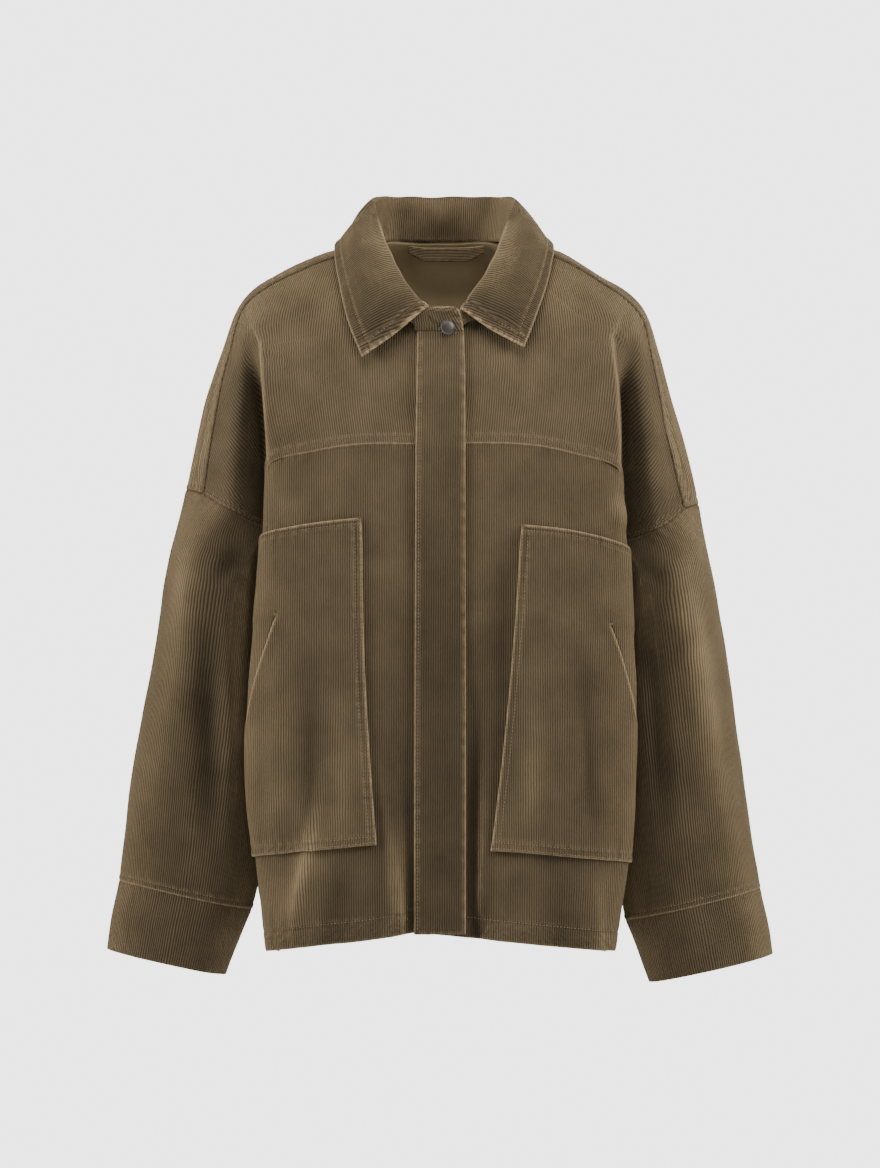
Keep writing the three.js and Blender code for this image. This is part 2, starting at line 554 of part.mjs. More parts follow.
// The armhole as a closed line: over the arm from back to front, then under it from front to back.
function armhole({ yoke, front, backYoke, back }) {
  const overFront = yoke.at(-1).slice(YOKE_FOLD_COLUMN).reverse();
  const overBack = backYoke.at(-1).slice(0, BACK_FOLD_COLUMN + 1).reverse();
  const underFront = front.slice(1, ARMHOLE_ROWS + 1).map((row) => row.at(-1));
  const underBack = back.slice(1, ARMHOLE_ROWS).map((row) => row[0]).reverse();
  return [...overBack, ...overFront.slice(1), ...underFront, ...underBack];
}

// Sleeve and cuff grids: the first ring is the armhole, and each point runs down to the cuff.
function laySleeve(line, key, side) {
  const first = SLEEVE_RINGS[key][0];
  const centre = new THREE.Vector3();
  line.forEach((p) => centre.addScaledVector(p, 1 / line.length));
  const [wide, high] = [first.outer[0] - first.inner[0], first.outer[1] - first.inner[1]];
  const slope = new THREE.Vector3(side * wide, 0, high);
  slope.normalize();
  const halfAcross = Math.max(...line.map((p) => Math.abs(p.clone().sub(centre).dot(slope))));
  const start = line.map((p) => {
    const from = p.clone().sub(centre);
    return Math.atan2(from.y / first.halfDepth, from.dot(slope) / halfAcross);
  });
  // The angles run on in one direction, and turn into even ones towards the cuff.
  const turn = Math.sign(Math.sin(start[1] - start[0]));
  const angles = start.map((angle) => angle);
  for (let k = 1; k < angles.length; k += 1) {
    while (turn * (angles[k] - angles[k - 1]) < 0) angles[k] += turn * 2 * Math.PI;
  }
  const even = angles.map((_, k) => angles[0] + (turn * 2 * Math.PI * k) / angles.length);
  const rings = SLEEVE_RINGS[key].map((row, k) => {
    const share = Math.min(1, (k + 1) / 3);
    return ring(row, side, angles.map((angle, j) => angle + (even[j] - angle) * share));
  });
  const runs = line.map((p, j) => new THREE.CatmullRomCurve3([p, ...rings.map((points) => points[j])]));
  const sleeve = marks(SLEEVE_ROW_STEPS).map((v) => runs.map((run) => run.getPoint(v)));
  const front = (p) => Math.max(0, (SLEEVE_MIDDLE - p.y) / SLEEVE_MIDDLE_DEPTH);
  const creased = folded(sleeve.slice(1, -1), FOLDS[key].sleeve, side, front);
  sleeve.splice(1, creased.length, ...creased);
  sleeve[0] = line;
  const cuffRuns = even.map((_, j) => new THREE.CatmullRomCurve3(
    CUFF_RINGS[key].map((row) => ring(row, side, even)[j])));
  const cuff = marks(CUFF_ROW_STEPS).map((v) => cuffRuns.map((run) => run.getPoint(v)));
  cuff[0] = sleeve.at(-1);
  return { sleeve: sleeve.map(close), cuff: cuff.map(close) };
}

function close(points) {
  return [...points, points[0]];
}

// A point of a panel, moved out along its normal. u and v run from 0 to 1 across and down.
class Panel {
  constructor(rows, side, folds) {
    this.side = side;
    this.folds = folds;
    this.downs = rows[0].map((_, k) => new THREE.CatmullRomCurve3(rows.map((row) => row[k])));
  }

  at(u, v) {
    return new THREE.CatmullRomCurve3(this.downs.map((down) => down.getPoint(v))).getPoint(u);
  }

  lifted(u, v, height) {
    const step = 0.01;
    const across = this.at(Math.min(1, u + step), v).sub(this.at(Math.max(0, u - step), v));
    const down = this.at(u, Math.min(1, v + step)).sub(this.at(u, Math.max(0, v - step)));
    const normal = down.cross(across).multiplyScalar(this.side).normalize();
    const lifted = this.at(u, v).addScaledVector(normal, height);
    lifted.y -= foldLift(this.at(u, v), this.folds, this.side);
    return lifted;
  }

  // Where the panel shows the point [out, height] in the front view, at or in front of its crest.
  find([out, height]) {
    let [u, v] = [CREST_COLUMN / 2, 0.5];
    for (let turn = 0; turn < 8; turn += 1) {
      u = this.solve((t) => seen(this.at(t, v), this.side).out - out, 0, CREST_COLUMN);
      v = this.solve((t) => height - seen(this.at(u, t), this.side).height, 0, 1);
    }
    return [u, v];
  }

  solve(error, low, high) {
    for (let k = 0; k < 24; k += 1) {
      const middle = (low + high) / 2;
      if (error(middle) < 0) low = middle;
      else high = middle;
    }
    return (low + high) / 2;
  }
}

// A patch pocket laid on the front. Beside its slanted opening it stops at the slit.
function layPocket(panel, shape) {
  const lift = LAY_GAP + CLOTH;
  const [topInner, topOuter] = [panel.find(shape.topInner), panel.find(shape.topOuter)];
  const [bottomInner, bottomOuter] = [panel.find(shape.bottomInner), panel.find(shape.bottomOuter)];
  const [slitTop, slitBottom] = [panel.find(shape.slitTop), panel.find(shape.slitBottom)];
  const sideTop = panel.solve((v) => shape.sideTop - seen(panel.at(SIDE_EDGE, v), panel.side).height, 0, 1);
  const mix = (a, b, t) => a + (b - a) * t;
  // Each stop is a line across the pocket: its height at both edges, and where its inner part ends.
  const share = (v) => (v - topOuter[1]) / (bottomOuter[1] - topOuter[1]);
  const stops = [
    { at: 0, end: mix(slitTop[0], CREST_COLUMN, 0.5), steps: 3 },
    { at: share(slitTop[1]), end: slitTop[0], steps: 4 },
    { at: share(slitBottom[1]), end: CREST_COLUMN, steps: 5 },
    { at: 1, end: CREST_COLUMN },
  ];
  const line = (t, from, to, count, ease) => Array.from({ length: count + 1 }, (_, k) => {
    const u = mix(from, to, (k / count) ** ease);
    const tilt = Math.min(1, u / CREST_COLUMN);
    const behind = Math.max(0, (u - CREST_COLUMN) / (SIDE_EDGE - CREST_COLUMN));
    const top = mix(mix(topInner[1], topOuter[1], tilt), sideTop, behind);
    const v = mix(top, mix(bottomInner[1], bottomOuter[1], tilt), t);
    return panel.lifted(u, v, lift);
  });
  const inner = [];
  const outers = [[], []];
  stops.slice(0, -1).forEach((stop, k) => {
    const next = stops[k + 1];
    for (let i = 0; i <= stop.steps; i += 1) {
      const t = mix(stop.at, next.at, i / stop.steps);
      const end = mix(stop.end, next.end, i / stop.steps);
      const from = mix(topInner[0], bottomInner[0], t);
      if (i > 0 || k === 0) inner.push(line(t, from, end, POCKET_COLUMNS, CREST_EASE));
      if (k !== 1) outers[k === 0 ? 0 : 1].push(line(t, end, SIDE_EDGE, POCKET_SIDE_COLUMNS, 1 / CREST_EASE));
    }
  });
  return [inner, ...outers];
}

// A strip on the centre front: rows from edge to edge, a little rounded over.
function layStrip(rows, columns, rowSteps) {
  const points = rows.map(({ height, left, right, depth }) => (
    Array.from({ length: columns + 1 }, (_, k) => {
      const share = k / columns;
      const x = left + (right - left) * share;
      return place([x, depth + STRIP_ROUNDING * (2 * share - 1) ** 2, height], RIGHT);
    })));
  const downs = points[0].map((_, k) => new THREE.CatmullRomCurve3(points.map((row) => row[k])));
  return marks(rowSteps).map((v) => downs.map((down) => down.getPoint(v)));
}

function layCollar() {
  const names = ['neck', 'roll', 'fall', 'edge'];
  const left = placed(COLLAR_ROWS.left, names, LEFT);
  const right = placed(COLLAR_ROWS.right, names, RIGHT);
  const rows = [...left, ...right.slice(0, -1).reverse()];
  rows.forEach((row) => { row[0].z += COLLAR_RISE; });
  return lay(rows, COLLAR_STEPS, rows.slice(1).map(() => COLLAR_ROW_STEP));
}

function layLoop() {
  const points = [];
  for (let r = 0; r <= 2; r += 1) {
    const share = r / 2;
    points.push(Array.from({ length: LOOP_COLUMNS + 1 }, (_, k) => {
      const along = k / LOOP_COLUMNS;
      const x = LOOP.left + (LOOP.right - LOOP.left) * along;
      const sag = Math.min(1, Math.sin(Math.PI * along) * 1.6);
      const top = LOOP.top - 2 * sag;
      const bottom = LOOP.top - LOOP.end + (LOOP.bottom - LOOP.top + LOOP.end) * sag;
      const y = LOOP.depth - LOOP.curve * x ** 2 - LOOP.bulge * sag;
      return new THREE.Vector3(x, y, top + (bottom - top) * share);
    }));
  }
  return points;
}

function snapCap() {
  const profile = SNAP_PROFILE.map(([r, h]) => new THREE.Vector2(r, h));
  const cap = new THREE.Mesh(new THREE.LatheGeometry(profile, SNAP_SEGMENTS), GUNMETAL);
  cap.name = 'snap_cap';
  cap.rotation.set(Math.PI, 0, THREE.MathUtils.degToRad(SNAP.turn));
  const depth = TAB_ROWS[2].depth - SNAP.gap;
  cap.position.copy(place([SNAP.x, depth, SNAP.z], RIGHT));
  return cap;
}

const body = { left: layBody('left', LEFT), right: layBody('right', RIGHT) };
const sleeves = {
  left: laySleeve(armhole(body.left), 'left', LEFT),
  right: laySleeve(armhole(body.right), 'right', RIGHT),
};

// The panels whose edges meet share their normals along the seams, so that their walls line up.
const panels = { back: new Surface() };
const shell = new Surface();
for (const [key, side] of [['left', LEFT], ['right', RIGHT]]) {
  const outward = side === RIGHT;
  const { yoke, front, backYoke, back } = body[key];
  panels[`front_yoke_${key}`] = new Surface().grid(yoke, !outward);
  panels[`front_${key}`] = new Surface().grid(front, !outward);
  panels.back.grid(backYoke, !outward).grid(back, !outward);
  panels[`sleeve_${key}`] = new Surface().grid(sleeves[key].sleeve, outward);
  panels[`cuff_${key}`] = new Surface().grid(sleeves[key].cuff, outward);
  for (const rows of [yoke, front, backYoke, back]) shell.grid(rows, !outward);
  for (const rows of [sleeves[key].sleeve, sleeves[key].cuff]) shell.grid(rows, outward);
}
const shared = shell.normals();

const jacket = new THREE.Group();
for (const [name, surface] of Object.entries(panels)) {
  jacket.add(surface.wall(name, CORDUROY, CLOTH, shared));
}
for (const [key, side] of [['left', LEFT], ['right', RIGHT]]) {
  const pocket = new Surface();
  const panel = new Panel(body[key].frontPoints, side, FOLDS[key].front);
  layPocket(panel, POCKETS[key]).forEach((rows) => pocket.grid(rows, side === LEFT));
  jacket.add(pocket.wall(`pocket_${key}`, CORDUROY, CLOTH));
}
const placket = new Surface().grid(layStrip(PLACKET_ROWS, PLACKET_COLUMNS, PLACKET_ROW_STEPS));
jacket.add(placket.wall('placket', CORDUROY, DOUBLE_CLOTH));
const tab = new Surface().grid(layStrip(TAB_ROWS, TAB_COLUMNS, TAB_ROW_STEPS));
jacket.add(tab.wall('neck_tab', CORDUROY, DOUBLE_CLOTH));
jacket.add(new Surface().grid(layCollar()).wall('collar', CORDUROY, DOUBLE_CLOTH));
jacket.add(new Surface().grid(layLoop()).wall('hanger_loop', CORDUROY_REVERSE, LOOP.thickness));
jacket.add(snapCap());

export default jacket;
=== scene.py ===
"""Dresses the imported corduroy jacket: its cloth, folds, seams, stitching and snap.

Lengths are in millimetres in the frame of the part (+X the viewer's right, -Y the front, +Z up)
until a mesh is made, which is in metres. A control point is [out, depth, height]: how far out from
the middle and how high it looks from the front, and how deep it is. "left" is the viewer's left.
"""

from __future__ import annotations

import json
import logging
import math
from collections.abc import Callable
from dataclasses import dataclass, field
from enum import Enum

import bmesh
import bpy
import numpy as np
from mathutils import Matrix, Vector

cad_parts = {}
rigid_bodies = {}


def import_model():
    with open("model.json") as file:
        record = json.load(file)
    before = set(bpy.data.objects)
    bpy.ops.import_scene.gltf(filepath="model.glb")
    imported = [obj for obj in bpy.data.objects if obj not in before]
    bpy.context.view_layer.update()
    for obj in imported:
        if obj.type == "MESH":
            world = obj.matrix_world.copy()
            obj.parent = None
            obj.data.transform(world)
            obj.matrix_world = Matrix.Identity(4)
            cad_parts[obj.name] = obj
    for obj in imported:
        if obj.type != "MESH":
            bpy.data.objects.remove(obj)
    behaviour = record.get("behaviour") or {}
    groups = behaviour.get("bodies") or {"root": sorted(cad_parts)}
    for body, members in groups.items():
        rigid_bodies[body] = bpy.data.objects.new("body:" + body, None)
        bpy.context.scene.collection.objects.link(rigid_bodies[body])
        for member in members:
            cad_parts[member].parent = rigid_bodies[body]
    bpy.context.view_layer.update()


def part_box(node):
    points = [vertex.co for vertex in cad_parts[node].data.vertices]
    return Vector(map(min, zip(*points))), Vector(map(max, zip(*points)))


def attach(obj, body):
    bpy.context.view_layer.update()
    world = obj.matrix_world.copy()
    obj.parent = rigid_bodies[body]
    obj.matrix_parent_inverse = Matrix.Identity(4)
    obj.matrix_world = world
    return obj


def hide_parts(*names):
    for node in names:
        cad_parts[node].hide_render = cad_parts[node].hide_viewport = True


LOG = logging.getLogger("jacket")
MM = 0.001
PICTURE = (880, 1168)
VIEW_DISTANCE = 5000.0  # the camera stands here, in front of the origin
VIEW_HEIGHT = -344.0

CLOTH = 2.0  # one layer of corduroy with its turnings
DOUBLE_CLOTH = 2.6  # collar, neckband and placket
TAPE = 2.5  # the hanger loop's folded strip
LAY_GAP = 1.15  # between a panel and a pocket that is sewn on top of it
WALE = 2.3  # width of one cord
COLLAR_RISE = 0.1  # lifts the collar's inner edge off the neckline

SPACING = 3.4  # between neighbouring points of a cloth's grid
BACK_SPACING = 4.5  # the same across the back, which has wider folds
MARK_GAP = 0.35  # a seam's own place is left out where a regular one is nearer than this
# Distances from an edge that get points of their own, for the seam there.
RIM_MARKS = (0.7, 1.5, 2.4)
FELL_MARKS = (*RIM_MARKS, 14.8, 16, 17.2)
HEM_MARKS = (0.8, 2.0, 18.8, 20.0, 21.2)
YOKE_MARKS = (0.7, 1.5, 2.6, 6.0, 7.0, 8.0, 9.0)
COLLAR_MARKS = (0.7, 1.5, 8.8, 10, 11.2)

# Degrees by which the cords lean: on the caps over the arms, which hang lower than they were cut, on
# the sleeves, on the cuffs, and on the part of the neck tab that turns down.
CAP_LEAN, SLEEVE_LEAN, CUFF_LEAN, TAB_LEAN = 47.0, -8.5, -11.0, -34.0
ARMHOLE_PLACES = 30  # even steps round an armhole, counted from the back's crest
RING_POWER = 0.88  # makes the sleeves' rings squarer than ellipses
SLEEVE_MIDDLE = 6.0  # a sleeve's folds begin at this depth
SLEEVE_FORWARDS = 70.0  # and are full this far in front of it

# Shares across the front: its crest, and where a pocket ends at the side.
CREST_COLUMN, SIDE_EDGE = 0.6, 0.985
CREST_EASE = 0.75  # crowds a pocket's columns towards the crest
# Rough sizes that turn distances into shares of a pocket or of a front.
POCKET_WIDTH, POCKET_LENGTH, FRONT_WIDTH = 120.0, 330.0, 210.0


class Side(Enum):
    """The two halves of the jacket, as the viewer sees them, with the sign of their x."""

    LEFT = -1
    RIGHT = 1

    @property
    def key(self) -> str:
        """The half's name in the tables and in the nodes."""
        return self.name.lower()


class Edge(Enum):
    """The edges of a grid of cloth points, whose rows run down and whose columns run across.

    An edge's value is the axis that leads away from it, and whether it is the last along that axis.
    """

    TOP = (0, False)
    BOTTOM = (0, True)
    START = (1, False)
    END = (1, True)

    @property
    def axis(self) -> int:
        """The axis that leads away from the edge."""
        return self.value[0]

    @property
    def last(self) -> bool:
        """Whether the edge is the last row or column."""
        return self.value[1]


# Columns: centre, mid, near, crest, fold, arm, seam. Rows run from the neck to the yoke seam.
YOKE = {
    Side.LEFT: [
        [(21, -99, -89), (31, -95, -80), (44, -83, -65), (56, -61, -45), (64, -34, -26), (69, -11, -13),
         (70, 8, -6)],
        [(21, -106, -112), (42, -103, -104), (68, -93, -87), (88, -76, -65), (99, -54, -45), (104, -31, -28),
         (105, -12, -16)],
        [(21, -110, -134), (52, -109, -127), (90, -102, -114), (118, -88, -95), (133, -64, -72),
         (142, -40, -50), (146, -18, -33)],
        [(21, -113, -156), (64, -113, -151), (118, -107, -140), (176, -90, -112), (186, -77, -96),
         (193, -52, -79), (196, -26, -64)],
        [(21, -115, -172), (70, -116, -169), (126, -111, -163), (177, -95, -154), (177, -60, -158),
         (198, -64, -141), (214, -36, -118)],
        [(21, -117, -189), (74, -119, -187), (128, -114, -187), (174, -96, -195), (170, -50, -217),
         (204, -65, -209), (228, -42, -192)],
        [(21, -118, -204), (76, -121, -204), (124, -116, -211), (172, -96, -226), (170, -46, -284),
         (209, -63, -269), (238, -41, -252)],
    ],
    Side.RIGHT: [
        [(-18, -96, -91), (22, -95, -85), (44, -83, -65), (56, -61, -45), (64, -34, -26), (69, -11, -13),
         (70, 8, -6)],
        [(-18, -103, -112), (36, -103, -105), (68, -93, -88), (90, -76, -65), (102, -54, -45),
         (109, -31, -27), (111, -12, -15)],
        [(-18, -107, -134), (50, -109, -127), (92, -102, -114), (120, -88, -95), (136, -64, -73),
         (146, -40, -52), (151, -18, -34)],
        [(-18, -110, -156), (64, -113, -151), (116, -107, -138), (171, -92, -110), (183, -77, -98),
         (193, -52, -84), (199, -26, -72)],
        [(-18, -112, -172), (70, -116, -169), (126, -111, -162), (177, -96, -146), (178, -60, -160),
         (199, -64, -142), (213, -36, -117)],
        [(-18, -114, -189), (76, -119, -187), (130, -114, -189), (180, -97, -200), (177, -51, -232),
         (208, -65, -220), (228, -42, -193)],
        [(-18, -115, -204), (79, -121, -204), (129, -116, -212), (181, -97, -232), (179, -48, -296),
         (217, -63, -288), (244, -41, -267)],
    ],
}
# Columns: centre, mid, near, crest, side, seam. Rows run from the yoke seam to the hem.
FRONT = {
    Side.LEFT: [
        [(21, -118, -204), (76, -121, -204), (124, -116, -211), (172, -96, -226), (169, -70, -256),
         (170, -46, -284)],
        [(21, -119, -255), (78, -122, -256), (130, -117, -262), (175, -96, -273), (169, -58, -292),
         (170, -20, -310)],
        [(21, -120, -300), (80, -123, -302), (134, -118, -306), (177, -96, -313), (169, -46, -318),
         (167, 8, -330)],
        [(21, -121, -380), (84, -124, -380), (142, -118, -380), (183, -93, -380), (168, -40, -381),
         (161, 8, -382)],
        [(21, -121, -460), (86, -125, -460), (148, -119, -460), (190, -92, -460), (172, -40, -461),
         (163, 8, -462)],
        [(21, -122, -540), (86, -126, -540), (148, -120, -540), (190, -93, -540), (174, -40, -541),
         (166, 8, -542)],
        [(21, -123, -618), (84, -128, -620), (144, -121, -622), (183, -94, -622), (175, -42, -623),
         (168, 8, -624)],
        [(21, -124, -692), (76, -128, -701), (132, -119, -707), (172, -93, -711), (166, -44, -710),
         (162, 8, -711)],
    ],
    Side.RIGHT: [
        [(-18, -115, -204), (79, -121, -204), (129, -116, -212), (181, -97, -232), (180, -74, -266),
         (179, -48, -296)],
        [(-18, -116, -255), (81, -122, -256), (134, -117, -262), (184, -97, -278), (176, -58, -303),
         (176, -20, -324)],
        [(-18, -117, -300), (83, -123, -302), (138, -118, -306), (187, -97, -318), (176, -46, -332),
         (172, 8, -344)],
        [(-18, -118, -380), (86, -124, -380), (146, -119, -380), (190, -94, -382), (172, -40, -386),
         (164, 8, -390)],
        [(-18, -118, -460), (87, -125, -460), (150, -119, -460), (193, -93, -460), (174, -40, -462),
         (165, 8, -464)],
        [(-18, -119, -540), (86, -126, -540), (149, -120, -540), (191, -94, -540), (175, -40, -541),
         (167, 8, -542)],
        [(-18, -120, -618), (82, -128, -620), (144, -121, -622), (189, -95, -622), (177, -42, -623),
         (169, 8, -624)],
        [(-18, -121, -693), (67, -128, -702), (126, -120, -708), (174, -93, -711), (167, -44, -710),
         (162, 8, -711)],
    ],
}
# Columns: ridge, arm, fold, crest, near, mid, centre. Rows run from the neck to the armpits.
BACK_YOKE = {
    Side.LEFT: [
        [(69, 20, -4), (66, 34, -3), (59, 48, -2), (48, 58, -1), (33, 65, -2), (17, 69, -3), (0, 70, -3)],
        [(106, 12, -10), (106, 38, -20), (98, 58, -28), (82, 72, -30), (57, 82, -29), (29, 87, -27),
         (0, 88, -26)],
        [(147, 8, -27), (147, 42, -43), (138, 66, -60), (116, 83, -63), (80, 94, -60), (41, 99, -56),
         (0, 100, -54)],
        [(196, 5, -58), (191, 48, -80), (177, 72, -104), (160, 89, -113), (108, 101, -104), (55, 107, -96),
         (0, 108, -92)],
        [(220, 5, -116), (206, 62, -142), (181, 66, -164), (173, 92, -160), (118, 107, -150), (60, 113, -142),
         (0, 114, -138)],
        [(241, 5, -191), (213, 71, -210), (174, 60, -230), (172, 96, -210), (122, 111, -196), (62, 117, -188),
         (0, 118, -184)],
        [(254, 4, -249), (219, 77, -270), (170, 56, -290), (171, 98, -248), (124, 114, -238), (63, 120, -234),
         (0, 121, -230)],
    ],
    Side.RIGHT: [
        [(69, 20, -4), (66, 34, -3), (59, 48, -2), (48, 58, -1), (33, 65, -2), (17, 69, -3), (0, 70, -3)],
        [(113, 12, -9), (112, 38, -20), (101, 58, -28), (84, 72, -30), (58, 82, -29), (29, 87, -27),
         (0, 88, -26)],
        [(151, 8, -28), (149, 42, -44), (139, 66, -60), (117, 83, -63), (80, 94, -60), (41, 99, -56),
         (0, 100, -54)],
        [(199, 5, -63), (193, 48, -85), (177, 72, -107), (160, 89, -114), (108, 101, -104), (55, 107, -96),
         (0, 108, -92)],
        [(220, 5, -115), (207, 62, -144), (182, 66, -168), (174, 92, -162), (118, 107, -150), (60, 113, -142),
         (0, 114, -138)],
        [(241, 5, -191), (215, 71, -218), (178, 60, -240), (175, 96, -214), (123, 111, -196), (62, 117, -188),
         (0, 118, -184)],
        [(258, 4, -264), (224, 77, -288), (176, 56, -307), (176, 98, -252), (126, 114, -238), (63, 120, -234),
         (0, 121, -230)],
    ],
}
# Columns: seam, side, crest, near, mid, centre. Rows run from the armpits to the hem.
BACK = {
    Side.LEFT: [
        [(170, 56, -290), (168, 80, -270), (171, 98, -248), (124, 114, -238), (63, 120, -234),
         (0, 121, -230)],
        [(169, 34, -314), (169, 64, -302), (174, 99, -284), (128, 115, -276), (66, 121, -274),
         (0, 122, -272)],
        [(167, 8, -330), (169, 54, -322), (177, 99, -318), (133, 116, -312), (68, 122, -310), (0, 123, -308)],
        [(161, 8, -382), (167, 54, -382), (183, 98, -380), (141, 117, -380), (72, 123, -380), (0, 124, -380)],
        [(163, 8, -462), (171, 54, -462), (189, 100, -461), (147, 119, -460), (76, 125, -460),
         (0, 126, -460)],
        [(166, 8, -542), (173, 54, -542), (189, 101, -541), (147, 121, -540), (76, 127, -540),
         (0, 128, -540)],
        [(168, 8, -624), (174, 54, -624), (185, 101, -623), (143, 122, -622), (74, 128, -622),
         (0, 129, -622)],
        [(162, 8, -711), (165, 50, -708), (169, 98, -704), (132, 119, -700), (70, 126, -694), (0, 127, -688)],
    ],
    Side.RIGHT: [
        [(176, 56, -307), (174, 80, -282), (176, 98, -252), (126, 114, -238), (63, 120, -234),
         (0, 121, -230)],
        [(174, 34, -330), (173, 64, -314), (180, 99, -290), (130, 115, -276), (66, 121, -274),
         (0, 122, -272)],
        [(172, 8, -344), (173, 54, -336), (183, 99, -324), (135, 116, -312), (69, 122, -310), (0, 123, -308)],
        [(164, 8, -390), (171, 54, -388), (188, 98, -382), (143, 117, -380), (73, 123, -380), (0, 124, -380)],
        [(165, 8, -464), (173, 54, -463), (191, 100, -461), (148, 119, -460), (76, 125, -460),
         (0, 126, -460)],
        [(167, 8, -542), (174, 54, -542), (190, 101, -541), (147, 121, -540), (76, 127, -540),
         (0, 128, -540)],
        [(169, 8, -624), (176, 54, -624), (187, 101, -623), (144, 122, -622), (74, 128, -622),
         (0, 129, -622)],
        [(162, 8, -711), (164, 50, -708), (168, 98, -704), (131, 119, -700), (70, 126, -694), (0, 127, -688)],
    ],
}
# Rings of a sleeve and of its cuff: outer out, outer height, inner out, inner height, middle, half depth.
SLEEVE_RINGS = {
    Side.LEFT: [
        (264, -291, 173, -364, 8, 84), (286, -410, 171, -446, 9, 80), (303, -510, 175, -540, 6, 72),
        (315, -590, 177, -620, 2, 60), (321, -639, 187, -668, 0, 50),
    ],
    Side.RIGHT: [
        (267, -305, 177, -376, 8, 84), (285, -412, 174, -452, 9, 80), (299, -512, 177, -545, 6, 72),
        (311, -592, 178, -627, 2, 60), (321, -647, 185, -679, 0, 50),
    ],
}
CUFF_RINGS = {
    Side.LEFT: [
        (321, -639, 187, -668, 0, 50), (328, -675, 200, -702, -2, 47), (332, -708, 212, -734, -3, 43),
    ],
    Side.RIGHT: [
        (321, -647, 185, -679, 0, 50), (328, -681, 198, -710, -2, 47), (333, -713, 209, -741, -3, 43),
    ],
}
# Columns: neck, roll, fall, edge. Rows run from the short front edge round to the middle of the back.
COLLAR = {
    Side.LEFT: [
        [(15, -100, -86), (11, -104, -67), (45, -111, -93), (78, -115, -116)],
        [(30, -94, -79), (26, -98, -52), (59, -107, -67), (92, -100, -82)],
        [(44, -82, -63), (41, -82, -30), (72, -88, -37), (100, -72, -49)],
        [(56, -60, -43), (54, -50, -1), (83, -50, -6), (106, -24, -12)],
        [(64, -33, -24), (62, -14, 22), (85, -6, 17), (102, 20, -2)],
        [(68, 10, -4), (65, 22, 42), (80, 38, 26), (84, 64, -10)],
        [(46, 59, -1), (46, 53, 43), (54, 75, 22), (48, 92, -16)],
        [(0, 70, -2), (0, 64, 43), (0, 86, 20), (0, 99, -18)],
    ],
    Side.RIGHT: [
        [(24, -98, -84), (20, -103, -69), (51, -110, -89), (84, -114, -106)],
        [(35, -91, -75), (32, -98, -52), (64, -106, -63), (96, -98, -76)],
        [(46, -80, -60), (48, -82, -29), (77, -88, -36), (106, -70, -48)],
        [(56, -60, -43), (60, -50, -2), (89, -50, -6), (114, -24, -11)],
        [(64, -33, -24), (68, -14, 20), (93, -6, 17), (110, 20, -1)],
        [(68, 10, -4), (73, 22, 42), (87, 38, 26), (90, 64, -9)],
        [(46, 59, -1), (52, 53, 43), (58, 75, 22), (52, 92, -15)],
        [(0, 70, -2), (0, 64, 43), (0, 86, 20), (0, 99, -18)],
    ],
}
# Rows of the placket and of the neckband's end: height, left edge, right edge, depth.
PLACKET = [
    (-90.8, -22.5, 23.5, -103.85), (-134, -23, 24.5, -114.35), (-204, -24, 25, -121.75),
    (-300, -24.5, 25, -123.75), (-460, -25, 25.5, -125.15), (-618, -25.5, 25.5, -127.15),
    (-694, -25.5, 25.5, -128.15),
]
TAB = [
    (-67, -9, 13, -105.5), (-70, -15, 18.5, -105.5), (-76, -25, 20.4, -105), (-80, -28, 21.5, -104.5),
    (-85, -26, 22.5, -104.3), (-90.7, -24.5, 23.5, -104.1),
]
# The line along which the tab is creased: x and height of its start, its bend and its end.
TAB_CREASE = [(-14, -73), (-3, -86.5), (7, -88)]


@dataclass(frozen=True)
class Fold:
    """A soft ridge (rise above 0) or trough between two points of the front view.

    It is deepest at the share of its length called peak, and fades out towards its ends.
    """

    start: tuple[float, float]
    end: tuple[float, float]
    rise: float
    width: float
    peak: float = 0.5

    def lift(self, out: np.ndarray, height: np.ndarray) -> np.ndarray:
        """How far the fold lifts each point.

        A bell across the fold, exp(-(distance / width)^2), times a smooth fade along it.

        Args:
            out: distances out from the middle, as seen from the front.
            height: heights, as seen from the front.

        Returns:
            The lift of each point in millimetres.
        """
        along, up = self.end[0] - self.start[0], self.end[1] - self.start[1]
        length = math.hypot(along, up)
        share = ((out - self.start[0]) * along + (height - self.start[1]) * up) / length**2
        apart = ((out - self.start[0]) * up - (height - self.start[1]) * along) / length
        kept = np.clip(share, 0, 1)
        if self.peak == 1:
            fade = kept
        else:
            fade = np.where(kept < self.peak, kept / self.peak, (1 - kept) / (1 - self.peak))
        return self.rise * smooth(fade) * bell(apart, self.width)


# The folds. The solids have the main ones too, and the small ones are only here.
FRONT_FOLDS = {
    Side.LEFT: [
        Fold((38, -540), (45, -694), 4.5, 12, 1), Fold((29, -470), (31, -694), -4, 8, 1),
        Fold((104, -520), (150, -705), 5.5, 17, 0.75), Fold((90, -570), (110, -706), -4, 15, 1),
        Fold((66, -490), (38, -700), 5, 5, 0.85), Fold((108, -500), (153, -720), 5, 5.5, 0.6),
        Fold((134, -380), (124, -640), -4, 12, 0.55), Fold((158, -400), (163, -660), 3, 10, 0.5),
        Fold((100, -420), (96, -640), 3.5, 11, 0.6),
        Fold((60, -330), (52, -560), 1.6, 12, 0.5), Fold((165, -240), (120, -330), 2.0, 12, 0.4),
    ],
    Side.RIGHT: [
        Fold((32, -370), (38, -694), -7, 10, 1), Fold((50, -500), (56, -700), 4, 18, 1),
        Fold((112, -560), (120, -706), -4, 18, 1), Fold((50, -450), (40, -702), 5.5, 5, 0.8),
        Fold((168, -250), (186, -295), 4.5, 8, 0.5), Fold((100, -400), (84, -650), 4, 12, 0.6),
        Fold((140, -380), (152, -660), -4, 12, 0.5), Fold((66, -280), (58, -540), -3, 14, 0.5),
        Fold((150, -600), (158, -712), 3, 8, 1),
    ],
}
